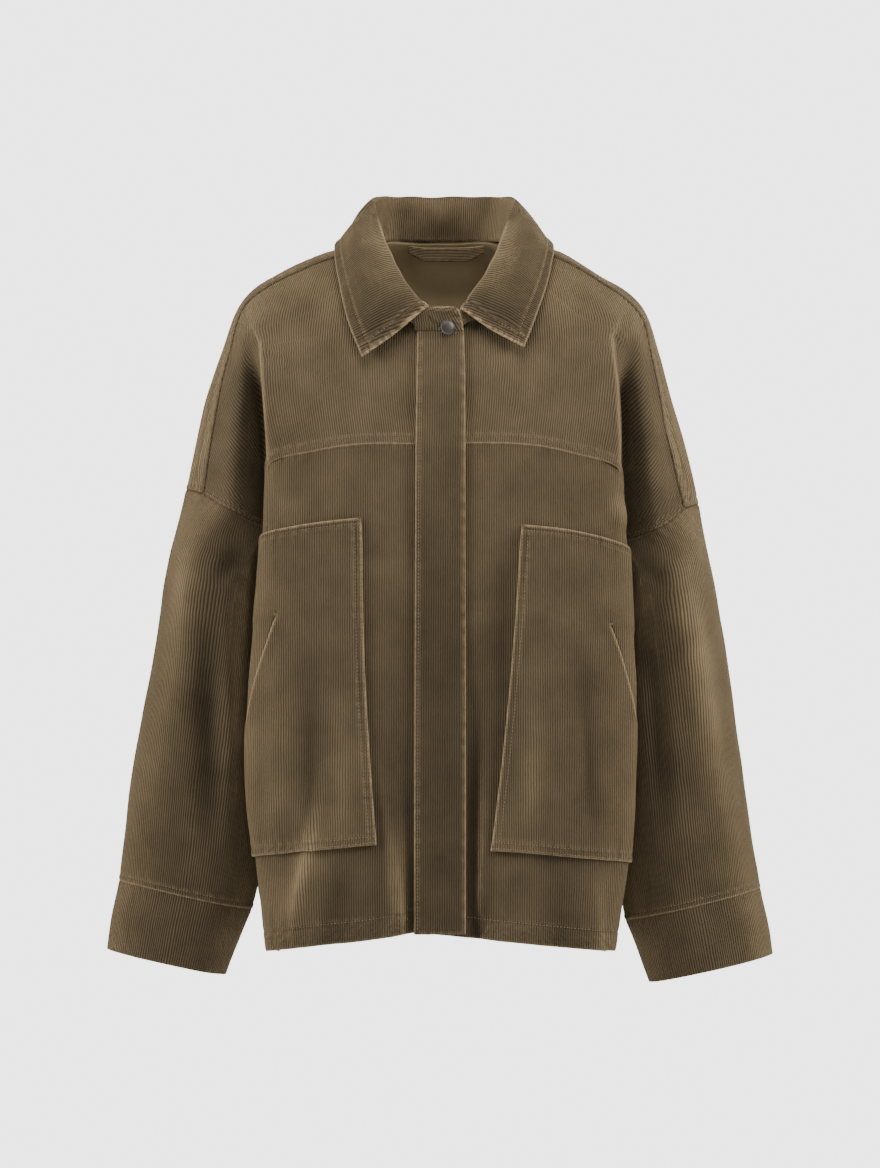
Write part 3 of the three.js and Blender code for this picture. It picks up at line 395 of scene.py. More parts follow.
SLEEVE_FOLDS = {
    Side.LEFT: [
        Fold((248, -270), (262, -480), 5, 15, 0.4), Fold((236, -340), (226, -640), -6, 14, 0.5),
        Fold((212, -330), (214, -650), 4, 10, 0.5), Fold((278, -320), (300, -600), -2.5, 10, 0.5),
        Fold((190, -300), (230, -350), -3, 9, 0.5), Fold((184, -470), (214, -530), 2.5, 9, 0.5),
    ],
    Side.RIGHT: [
        Fold((232, -285), (290, -620), 8, 16, 0.4), Fold((202, -330), (226, -645), -5, 13, 0.5),
        Fold((262, -320), (308, -640), -3, 10, 0.5), Fold((196, -340), (214, -640), 3, 9, 0.5),
        Fold((192, -310), (232, -352), -3, 9, 0.5),
    ],
}
BACK_FOLDS = {
    Side.LEFT: [
        Fold((60, -360), (78, -692), 5, 20, 1), Fold((116, -430), (126, -700), -5, 18, 1),
        Fold((150, -270), (96, -420), 3.5, 14, 0.35), Fold((84, -500), (96, -696), 3, 9, 1),
    ],
    Side.RIGHT: [
        Fold((52, -380), (66, -692), 4, 20, 1), Fold((104, -400), (124, -700), -5, 20, 1),
        Fold((152, -290), (90, -460), 3.5, 14, 0.35), Fold((22, -470), (30, -690), -3, 12, 1),
    ],
}
# The lines from which the chest hangs over the arm caps, from the top.
CRESTS = {
    Side.LEFT: [(193, -76), (181, -103), (177, -158), (174, -192), (172.5, -226)],
    Side.RIGHT: [(186, -72), (173, -97), (177.5, -142), (180.5, -200), (181, -234)],
}


def smooth(t: np.ndarray | float) -> np.ndarray:
    """The smooth step 3t^2 - 2t^3 of t clipped to 0..1."""
    t = np.clip(t, 0, 1)
    return t * t * (3 - 2 * t)


def bell(apart: np.ndarray, width: float) -> np.ndarray:
    """A bell curve that is 1 where apart is 0, and 1/e at the width."""
    return np.exp(-((apart / width) ** 2))


def unit(vectors: np.ndarray) -> np.ndarray:
    """The vectors along the last axis at length 1."""
    return vectors / np.maximum(np.linalg.norm(vectors, axis=-1, keepdims=True), 1e-9)


def place(points: np.ndarray, side: Side) -> np.ndarray:
    """Sets points given as they look from the front at their real places.

    A point that is nearer to the camera is drawn in towards the middle of the view in proportion.

    Args:
        points: [..., 3] of out, depth and height.
        side: the half that they lie on.

    Returns:
        The same points as x, y and z in millimetres.
    """
    nearer = (VIEW_DISTANCE + points[..., 1]) / VIEW_DISTANCE
    x = side.value * points[..., 0] * nearer
    return np.stack([x, points[..., 1], VIEW_HEIGHT + (points[..., 2] - VIEW_HEIGHT) * nearer], -1)


def controls_of(table: dict[Side, list], side: Side) -> np.ndarray:
    """The control points of one side of a table, at their real places."""
    return place(np.array(table[side], float), side)


def seen(points: np.ndarray, side: Side) -> tuple[np.ndarray, np.ndarray]:
    """How far out and how high points look from the front: place() the other way round."""
    nearer = (VIEW_DISTANCE + points[..., 1]) / VIEW_DISTANCE
    return side.value * points[..., 0] / nearer, VIEW_HEIGHT + (points[..., 2] - VIEW_HEIGHT) / nearer


def spline(points: np.ndarray, t: np.ndarray, paired: bool = False) -> np.ndarray:
    """A centripetal Catmull-Rom curve through points, each interval taking 1 of t.

    Between p1 and p2 it is the cubic whose end slopes are those of the parabola through each three
    neighbours, spaced by the square roots of their distances.

    Args:
        points: [n, ..., 3] control points.
        t: places along the curve, from 0 to n - 1.
        paired: whether points are [n, m, 3] and each t belongs to its own column.

    Returns:
        [m, ..., 3] points of the curve, or [m, 3] where they are paired.
    """
    ends = [2 * points[:1] - points[1:2], points, 2 * points[-1:] - points[-2:-1]]
    held = np.concatenate(ends)
    start = np.clip(np.floor(t).astype(int), 0, len(points) - 2)
    w = t - start
    if paired:
        column = np.arange(len(t))
        p0, p1, p2, p3 = (held[start + k, column] for k in range(4))
    else:
        p0, p1, p2, p3 = (held[start + k] for k in range(4))
    w = w.reshape([-1] + [1] * (p0.ndim - 1))
    gaps = [np.linalg.norm(b - a, axis=-1, keepdims=True) ** 0.5 for a, b in ((p0, p1), (p1, p2), (p2, p3))]
    d1 = np.where(gaps[1] < 1e-4, 1.0, gaps[1])
    d0, d2 = (np.where(gap < 1e-4, d1, gap) for gap in (gaps[0], gaps[2]))
    s1 = ((p1 - p0) / d0 - (p2 - p0) / (d0 + d1) + (p2 - p1) / d1) * d1
    s2 = ((p2 - p1) / d1 - (p3 - p1) / (d1 + d2) + (p3 - p2) / d2) * d1
    return p1 + s1 * w + (3 * (p2 - p1) - 2 * s1 - s2) * w**2 + (2 * (p1 - p2) + s1 + s2) * w**3


def marks(
    controls: np.ndarray, spacing: float = SPACING, start: tuple[float, ...] = (), end: tuple[float, ...] = ()
) -> np.ndarray:
    """Places along the first axis of a table, so that each interval is cut finely enough.

    Args:
        controls: [n, ..., 3] control points.
        spacing: the largest distance between neighbouring places, in millimetres.
        start: distances from the first edge that get a place of their own, for its seam.
        end: the same for the last edge.

    Returns:
        Places from 0 to n - 1.
    """
    lengths = np.linalg.norm(np.diff(controls, axis=0), axis=-1).reshape(len(controls) - 1, -1)
    counts = np.maximum(2, np.ceil(lengths.max(1) / spacing)).astype(int)
    parts = [k + np.arange(count) / count for k, count in enumerate(counts)]
    regular = np.concatenate([*parts, [len(counts)]])
    run = np.append(0, np.cumsum(lengths.mean(1)))
    wanted = np.concatenate([np.array(start, float), run[-1] - np.array(end, float)])
    if len(wanted):
        apart = np.abs(wanted[:, None] - np.interp(regular, np.arange(len(run)), run)[None]).min(1)
        wanted = wanted[apart > MARK_GAP]
    return np.sort(np.concatenate([regular, np.interp(wanted, run, np.arange(len(run)))]))


def lay(controls: np.ndarray, across: np.ndarray, down: np.ndarray) -> np.ndarray:
    """A grid of points: curves down the columns of a table, then curves across between them.

    Args:
        controls: [rows, columns, 3] control points.
        across: places along the columns.
        down: places along the rows.

    Returns:
        [down, across, 3] points.
    """
    return spline(spline(controls, down).swapaxes(0, 1), across).swapaxes(0, 1)


def onto(grid: np.ndarray, line: np.ndarray, edge: Edge, reach: int) -> np.ndarray:
    """Moves one edge of a grid onto a line, with a share of the move that fades inwards.

    Args:
        grid: [rows, columns, 3] points.
        line: the points that the edge is moved onto.
        edge: which edge.
        reach: how many rows or columns the move fades over.

    Returns:
        The moved grid.
    """
    moved = grid.copy()
    view = moved.swapaxes(0, edge.axis)
    if edge.last:
        view = view[::-1]
    fade = 1 - smooth(np.arange(reach) / reach)
    view[:reach] += fade[:, None, None] * (line - view[0])[None]
    return moved


def ripple(along: np.ndarray, wave: float, seed: int) -> np.ndarray:
    """An uneven wave along a seam, between about -1 and 1: a sum of four sines of nearby lengths."""
    rng = np.random.default_rng(seed)
    lengths = wave * rng.uniform(0.65, 1.7, 4)
    phases = rng.uniform(0, 2 * math.pi, 4)
    waves = np.sin(2 * math.pi * along[..., None] / lengths + phases)
    return waves.sum(-1) / 2.6


def sway(
    points: np.ndarray, wave: float, seed: int, stretch: tuple[float, float, float] = (1, 1, 1)
) -> np.ndarray:
    """Soft unevenness in space, between about -1 and 1, the same for pieces that meet.

    A sum of ten plane waves in seeded directions, with lengths round the given one.

    Args:
        points: [..., 3] in millimetres.
        wave: the usual length of a wave.
        seed: picks the waves.
        stretch: how fast the waves pass along each axis.

    Returns:
        The unevenness at each point.
    """
    rng = np.random.default_rng(seed)
    directions = rng.normal(size=(10, 3))
    directions /= np.linalg.norm(directions, axis=1, keepdims=True)
    directions *= 2 * math.pi / (wave * rng.uniform(0.7, 1.6, (10, 1)))
    phases = rng.uniform(0, 2 * math.pi, 10)
    return np.sin((points * np.array(stretch)) @ directions.T + phases).sum(-1) / 3.2


def unevenness(points: np.ndarray) -> np.ndarray:
    """The soft unevenness of worn cloth: a slow one and a fine one, the same where pieces meet."""
    return 1.1 * sway(points, 85, 5, (1, 1, 0.5)) + 0.3 * sway(points, 28, 6, (1, 1, 0.6))


def rubbed(lift: np.ndarray) -> np.ndarray:
    """Painted highlight on a fold's ridge and painted shade in its trough: how much lighter the tone is on a
    ridge and how much darker in a trough.
    """
    return np.exp(0.09 * np.maximum(lift, 0) + 0.11 * np.minimum(lift, 0))


def blend(values: np.ndarray, rows: np.ndarray, columns: np.ndarray) -> np.ndarray:
    """Values between a grid's points, blended from the four around each place.

    Args:
        values: [rows, columns, ...] at the grid's points.
        rows: places down, in rows.
        columns: places across, in columns.

    Returns:
        The value at each place.
    """
    r = np.clip(np.floor(rows).astype(int), 0, values.shape[0] - 2)
    c = np.clip(np.floor(columns).astype(int), 0, values.shape[1] - 2)
    shape = [-1] + [1] * (values.ndim - 2)
    v, u = (rows - r).reshape(shape), (columns - c).reshape(shape)
    top = values[r, c] * (1 - u) + values[r, c + 1] * u
    low = values[r + 1, c] * (1 - u) + values[r + 1, c + 1] * u
    return top * (1 - v) + low * v


@dataclass
class Grid:
    """A grid of points on the outer face of a piece of cloth, with what lies on it.

    Attributes:
        points: [rows, columns, 3] in millimetres.
        outward: 1 where rows-down crossed with columns-across points outwards, else -1.
        closed: whether the last column meets the first, as on a sleeve.
        lift: how far each point is lifted off the plain shape.
        wear: how worn the pile is, from 0.
        pucker: how far the cords are drawn together.
        nap: how light the pile is, 1 for the cloth's own tone: the pile's tone from piece to piece, times
            painted shade along joins, in hollows, in fold troughs and low down, and painted highlight on fold
            ridges.
        grain: [rows, columns, 2] across and along the cords, in millimetres.
        holes: which quads are left open.
    """

    points: np.ndarray
    outward: int
    closed: bool = False
    lift: np.ndarray = field(init=False)
    wear: np.ndarray = field(init=False)
    pucker: np.ndarray = field(init=False)
    nap: np.ndarray = field(init=False)
    grain: np.ndarray = field(init=False)
    holes: np.ndarray | None = None

    def __post_init__(self) -> None:
        """Starts with no lift and no wear, and with a grain that follows the grid."""
        self.lift, self.wear, self.pucker = (np.zeros(self.points.shape[:2]) for _ in range(3))
        self.nap = np.ones(self.points.shape[:2])
        self.grain = np.stack([self.far(Edge.START), self.far(Edge.TOP)], -1)

    def far(self, edge: Edge) -> np.ndarray:
        """How far each point is from an edge, along its own row or column, in millimetres."""
        axis = edge.axis
        steps = np.linalg.norm(np.diff(self.points, axis=axis), axis=-1)
        total = np.concatenate([np.zeros_like(np.take(steps, [0], axis)), np.cumsum(steps, axis)], axis)
        if edge.last:
            total = np.take(total, [-1], axis) - total
        return total

    def along(self, edge: Edge) -> np.ndarray:
        """How far each point lies along an edge, in millimetres."""
        return self.far(Edge.TOP if edge.axis else Edge.START)

    def normals(self) -> np.ndarray:
        """The outward normal at each point, from the slopes down and across."""
        if self.closed:
            wrapped = np.concatenate([self.points[:, -2:-1], self.points, self.points[:, 1:2]], 1)
            across = np.gradient(wrapped, axis=1)[:, 1:-1]
        else:
            across = np.gradient(self.points, axis=1)
        return unit(np.cross(np.gradient(self.points, axis=0), across) * self.outward)

    def crease(self, folds: list[Fold], side: Side, share: np.ndarray | float = 1.0) -> None:
        """Adds the folds to the lift, times a share, with painted highlight on the ridges and painted shade
        in the troughs.
        """
        out, height = seen(self.points, side)
        lift = sum(fold.lift(out, height) for fold in folds) * share
        self.lift = self.lift + lift
        self.nap = self.nap * rubbed(lift)

    def settled(self) -> Grid:
        """The same grid as it is once its lift has moved its points."""
        return Grid(self.points + self.normals() * self.lift[..., None], self.outward, self.closed)

    def at(self, rows: np.ndarray, columns: np.ndarray) -> tuple[np.ndarray, np.ndarray]:
        """Points and normals at places between the grid's points."""
        return blend(self.points, rows, columns), blend(self.normals(), rows, columns)

    def line(
        self, edge: Edge, inset: float, low: float = 0.0, high: float = 1e9
    ) -> tuple[np.ndarray, np.ndarray]:
        """The line at a distance from an edge, with its normals.

        Each row or column is searched for the place where its distance from the edge passes inset.

        Args:
            edge: the edge that the line follows.
            inset: how far it runs from the edge.
            low: where it starts along the edge.
            high: where it ends along the edge.

        Returns:
            Points and normals along the line.
        """
        far = self.far(edge).swapaxes(0, edge.axis)
        ordered = far[::-1] if edge.last else far
        index = np.clip((ordered < inset).sum(0) - 1, 0, len(far) - 2)
        column = np.arange(far.shape[1])
        before, after = ordered[index, column], ordered[index + 1, column]
        place_in = index + (inset - before) / np.maximum(after - before, 1e-6)
        place_in = len(far) - 1 - place_in if edge.last else place_in
        run = np.take(self.along(edge), -1 if edge.last else 0, edge.axis)
        keep = (run >= low) & (run <= high)
        place_in, column = place_in[keep], column[keep].astype(float)
        return self.at(column, place_in) if edge.axis else self.at(place_in, column)


@dataclass(frozen=True)
class Seam:
    """A sewn line beside an edge: the cloth dips at the stitches, with painted shade in the dip, and puckers
    towards the edge.

    Attributes:
        edge: the edge that it follows.
        inset: how far from the edge the stitches are.
        dip: depth of the dip at the stitches, which also sets how dark its painted shade is.
        puff: how far the cloth stands out between the stitches and the edge.
        pucker: height of the ripples across the seam.
        wave: length of one ripple.
        worn: how light the worn edge is, from 0 to 1.
        seed: picks the ripples.
    """

    edge: Edge
    inset: float
    dip: float
    puff: float
    pucker: float
    wave: float
    worn: float
    seed: int

    def press(self, grid: Grid, low: float = 0.0, high: float = 1e9) -> None:
        """Adds the seam's relief and wear to a grid between two places along the edge."""
        far, along = grid.far(self.edge), grid.along(self.edge)
        within = smooth((along - low) / 6) * smooth((high - along) / 6)
        band = smooth(1.15 - far / max(self.inset, 1.0))
        wave = ripple(along, self.wave, self.seed)
        fade = smooth(1 - (far - self.inset) / (2.5 * self.wave)) * smooth(far / 3)
        relief = -self.dip * bell(far - self.inset, 1.3)
        relief = relief + self.puff * band * smooth(far / 2.5) + self.pucker * wave * fade
        grid.lift += relief * within
        edge_line = bell(far, 1.3) * (0.75 + 0.25 * wave)
        stitch_line = 0.35 * bell(far - self.inset - 1.4, 1.2) * (0.6 + 0.4 * wave)
        grid.wear = np.maximum(grid.wear, self.worn * (edge_line + stitch_line) * within)
        grid.pucker = np.maximum(grid.pucker, 2 * self.pucker * smooth(1.4 - far / (self.inset + 3)) * within)
        # Painted shade in the dip at the stitches.
        grid.nap = grid.nap * (1 - 0.7 * self.dip * bell(far - self.inset, 0.9) * within)


@dataclass(frozen=True)
class Crest:
    """A crest from which the cloth hangs over a hollow behind it: a soft step across a line, with a lighter
    line along it that is partly wear and partly painted highlight.

    Attributes:
        line: out and height of its points, from the top.
        rise: half the height of the step.
        width: how far the step reaches to each side.
    """

    line: list[tuple[float, float]]
    rise: float = 3.2
    width: float = 13.0

    def press(self, grid: Grid, side: Side) -> None:
        """Adds the step: -rise tanh(apart / 3) exp(-(apart / width)^2), fading in at the top."""
        out, height = seen(grid.points, side)
        outs, heights = np.array(self.line, float).T
        apart = out - np.interp(-height, -heights, outs)
        within = smooth((heights[0] - height) / 35) * smooth((height - heights[-1]) / 12)
        grid.lift -= self.rise * np.tanh(apart / 3) * bell(apart, self.width) * within
        # A lighter line along the crest: partly wear, partly painted highlight.
        grid.wear = np.maximum(grid.wear, 0.45 * within * bell(apart + 1.5, 1.8))


def rim_of(quads: np.ndarray, count: int) -> np.ndarray:
    """The edges that only one quad has, from each edge's start to its end, as [n, 2] indices."""
    edges = np.concatenate([quads[:, [0, 1]], quads[:, [1, 2]], quads[:, [2, 3]], quads[:, [3, 0]]])
    forward, backward = edges[:, 0] * count + edges[:, 1], edges[:, 1] * count + edges[:, 0]
    return edges[~np.isin(forward, backward)]


@dataclass(frozen=True)
class Wall:
    """Grids joined into one closed wall of cloth, with a rounded rim.

    Attributes:
        name: the piece's name.
        thickness: of the wall.
        bulge: how far the free edges are rounded out.
        grids: what it is joined from.
    """

    name: str
    thickness: float
    bulge: float
    grids: list[Grid]

    def joined(self) -> tuple[np.ndarray, np.ndarray, np.ndarray, np.ndarray]:
        """Joins the grids where their points meet.

        Returns:
            Points, quads, each quad corner's grain, and each point's lift, wear, pucker and tone with its
            painted shade and highlight.
        """
        points, quads, grain, held, start = [], [], [], [], 0
        for grid in self.grids:
            rows, columns = grid.points.shape[:2]
            ids = start + np.arange(rows * columns).reshape(rows, columns)
            corners = [ids[:-1, :-1], ids[1:, :-1], ids[1:, 1:], ids[:-1, 1:]]
            if grid.outward < 0:
                corners = corners[::-1]
            quad = np.stack(corners, -1).reshape(-1, 4)
            if grid.holes is not None:
                quad = quad[~grid.holes.ravel()]
            quads.append(quad)
            points.append(grid.points.reshape(-1, 3))
            grain.append(grid.grain.reshape(-1, 2))
            held.append(np.stack([a.ravel() for a in (grid.lift, grid.wear, grid.pucker, grid.nap)], -1))
            start += rows * columns
        points, quads, grain, held = (np.concatenate(part) for part in (points, quads, grain, held))
        used, quads = np.unique(quads, return_inverse=True)
        quads = quads.reshape(-1, 4)
        points, grain, held = points[used], grain[used], held[used]
        corner_grain = grain[quads]
        _, first, same = np.unique(np.round(points, 2) + 0.0, axis=0, return_index=True, return_inverse=True)
        same = same.ravel()
        quads = same[quads]
        kept = (quads[:, 0] != quads[:, 2]) & (quads[:, 1] != quads[:, 3])
        return points[first], quads[kept], corner_grain[kept], held[first]

    def mesh(self, face: bpy.types.Material, reverse: bpy.types.Material) -> bpy.types.Object:
        """Builds the closed wall: outer face, inner face and a rounded rim round every open edge.

        The inner face is the outer one moved in along the normals, less where they bend sharply,
        as the cloth is squeezed there.

        Args:
            face: the finish of the outer face and the rim.
            reverse: the finish of the inner face.

        Returns:
            The new object.
        """
        points, quads, grain, held = self.joined()
        lift, wear, pucker, nap = held.T
        count = len(points)
        normals, agreement = self._normals(points, quads)
        points = points + normals * lift[:, None]
        normals, agreement = self._normals(points, quads)
        inner = points - normals * (self.thickness * np.maximum(0.3, agreement**2))[:, None]
        rim = rim_of(quads, count)
        along = points[rim[:, 1]] - points[rim[:, 0]]
        outwards = np.cross(along, normals[rim[:, 0]] + normals[rim[:, 1]])
        push = np.zeros_like(points)
        np.add.at(push, rim[:, 0], outwards)
        np.add.at(push, rim[:, 1], outwards)
        edge_ids = np.unique(rim)
        middle = (points[edge_ids] + inner[edge_ids]) / 2 + unit(push[edge_ids]) * self.bulge
        place_of = np.zeros(count, int)
        place_of[edge_ids] = 2 * count + np.arange(len(edge_ids))
        a, b = rim[:, 0], rim[:, 1]
        strips = [
            np.stack([b, a, place_of[a], place_of[b]], -1),
            np.stack([place_of[b], place_of[a], count + a, count + b], -1),
        ]
        faces = np.concatenate([quads, quads[:, ::-1] + count, *strips])
        grain_of = np.zeros((count, 2))
        grain_of[quads.ravel()] = grain.reshape(-1, 2)
        rim_grain = grain_of[np.stack([b, a, a, b], -1)]
        corner_grain = np.concatenate([grain, grain[:, ::-1], rim_grain, rim_grain])
        vertices = np.concatenate([points, inner, middle])
        worn = np.concatenate([wear, np.zeros(count), wear[edge_ids]])
        slots = np.concatenate([np.zeros(len(quads)), np.ones(len(quads)), np.zeros(2 * len(rim))])
        item = new_mesh(self.name, vertices, faces, [face, reverse], slots.astype(int))
        layer = item.data.uv_layers.new(name="grain")
        layer.data.foreach_set("uv", (corner_grain.reshape(-1, 2) * MM).astype(np.float32).ravel())
        rough = np.concatenate([pucker, np.zeros(count), pucker[edge_ids]])
        # The tone with its painted shade and painted highlight, which the material multiplies in.
        toned_and_shaded = np.concatenate([nap, nap, nap[edge_ids]])
        for name, values in (("wear", worn), ("pucker", rough), ("nap", toned_and_shaded)):
            layer = item.data.attributes.new(name, "FLOAT", "POINT")
            layer.data.foreach_set("value", values.astype(np.float32))
        return item

    @staticmethod
    def _normals(points: np.ndarray, quads: np.ndarray) -> tuple[np.ndarray, np.ndarray]:
        """Each point's normal, the mean of its quads' by area, and how well they agree on it."""
        a, b, c, d = (points[quads[:, k]] for k in range(4))
        face = np.cross(c - a, d - b)
        size = np.linalg.norm(face, axis=1)
        total, sizes = np.zeros_like(points), np.zeros(len(points))
        for k in range(4):
            np.add.at(total, quads[:, k], face)
            np.add.at(sizes, quads[:, k], size)
        length = np.linalg.norm(total, axis=1)
        return total / np.maximum(length, 1e-9)[:, None], length / np.maximum(sizes, 1e-9)


def new_mesh(
    name: str,
    vertices: np.ndarray,
    faces: np.ndarray,
    materials: list[bpy.types.Material],
    slots: np.ndarray | None = None,
) -> bpy.types.Object:
    """Makes a smooth-shaded object from points in millimetres and equal-sided faces.

    Args:
        name: of the object.
        vertices: [n, 3] points in millimetres.
        faces: [m, k] indices, outwards by the right-hand rule.
        materials: its finishes.
        slots: which finish each face has.

    Returns:
        The object, linked to the scene.
    """
    mesh = bpy.data.meshes.new(name)
    mesh.vertices.add(len(vertices))
    mesh.vertices.foreach_set("co", (vertices * MM).astype(np.float32).ravel())
    mesh.loops.add(faces.size)
    mesh.loops.foreach_set("vertex_index", faces.astype(np.int32).ravel())
    mesh.polygons.add(len(faces))
    mesh.polygons.foreach_set("loop_start", np.arange(0, faces.size, faces.shape[1], dtype=np.int32))
    mesh.polygons.foreach_set("use_smooth", np.ones(len(faces), bool))
    for material in materials:
        mesh.materials.append(material)
    if slots is not None:
        mesh.polygons.foreach_set("material_index", slots.astype(np.int32))
    mesh.update(calc_edges=True)
    mesh.validate()
    item = bpy.data.objects.new(name, mesh)
    bpy.context.scene.collection.objects.link(item)
    return item


def leaning(angle: np.ndarray, side: Side) -> np.ndarray:
    """Directions down cords that lean from upright by degrees, their lower ends towards the middle."""
    lean = np.radians(angle)
    return np.stack([-side.value * np.sin(lean), np.zeros_like(lean), -np.cos(lean)], -1)


def combed(
    points: np.ndarray, outward: int, cord: np.ndarray, stride: int = 5, trust: np.ndarray | float = 1.0
) -> np.ndarray:
    """Grain coordinates whose cords run in the given directions.

    On every few points, across is the least-squares fit of a height field whose slope is the unit
    direction across the cords, and along is the same for the direction along them.

    Args:
        points: [rows, columns, 3] in millimetres.
        outward: the grid's sense.
        cord: [rows, columns, 3] directions of the cords, which are turned into the surface.
        stride: how many points are stepped over.
        trust: how much each point counts in the fit, [rows, columns] or one number.

    Returns:
        [rows, columns, 2] across and along the cords, in millimetres.
    """
    rows = np.unique(np.append(np.arange(0, points.shape[0], stride), points.shape[0] - 1))
    columns = np.unique(np.append(np.arange(0, points.shape[1], stride), points.shape[1] - 1))
    p = points[np.ix_(rows, columns)]
    cord = cord[np.ix_(rows, columns)]
    trust = np.broadcast_to(trust, points.shape[:2])[np.ix_(rows, columns)].ravel()
    normal = unit(np.cross(np.gradient(p, axis=0), np.gradient(p, axis=1)) * outward)
    cord = unit(cord - (cord * normal).sum(-1, keepdims=True) * normal)
    across = np.cross(cord, normal)
    ids = np.arange(p.shape[0] * p.shape[1]).reshape(p.shape[:2])
    pairs = np.concatenate([
        np.stack([ids[:, :-1].ravel(), ids[:, 1:].ravel()], -1),
        np.stack([ids[:-1].ravel(), ids[1:].ravel()], -1),
    ])
    flat = p.reshape(-1, 3)
    counted = (trust[pairs[:, 0]] + trust[pairs[:, 1]]) / 2
    matrix = np.zeros((len(pairs) + 1, ids.size))
    matrix[np.arange(len(pairs)), pairs[:, 0]] = -counted
    matrix[np.arange(len(pairs)), pairs[:, 1]] = counted
    matrix[-1, 0] = 1
    step = flat[pairs[:, 1]] - flat[pairs[:, 0]]
    wanted = []
    for field_of in (across, cord):
        held = field_of.reshape(-1, 3)
        mean = (held[pairs[:, 0]] + held[pairs[:, 1]]) / 2
        wanted.append(np.append((step * mean).sum(-1) * counted, 0.0))
    solved = np.linalg.lstsq(matrix, np.stack(wanted, -1), rcond=None)[0].reshape(*p.shape[:2], 2)
    fine = np.stack([np.interp(np.arange(points.shape[0]), rows, solved[:, k, j])
                     for k in range(len(columns)) for j in range(2)], -1)
    fine = fine.reshape(points.shape[0], len(columns), 2)
    place_in = np.interp(np.arange(points.shape[1]), columns, np.arange(len(columns)))
    low = np.clip(np.floor(place_in).astype(int), 0, len(columns) - 2)
    share = (place_in - low)[None, :, None]
    return fine[:, low] * (1 - share) + fine[:, low + 1] * share


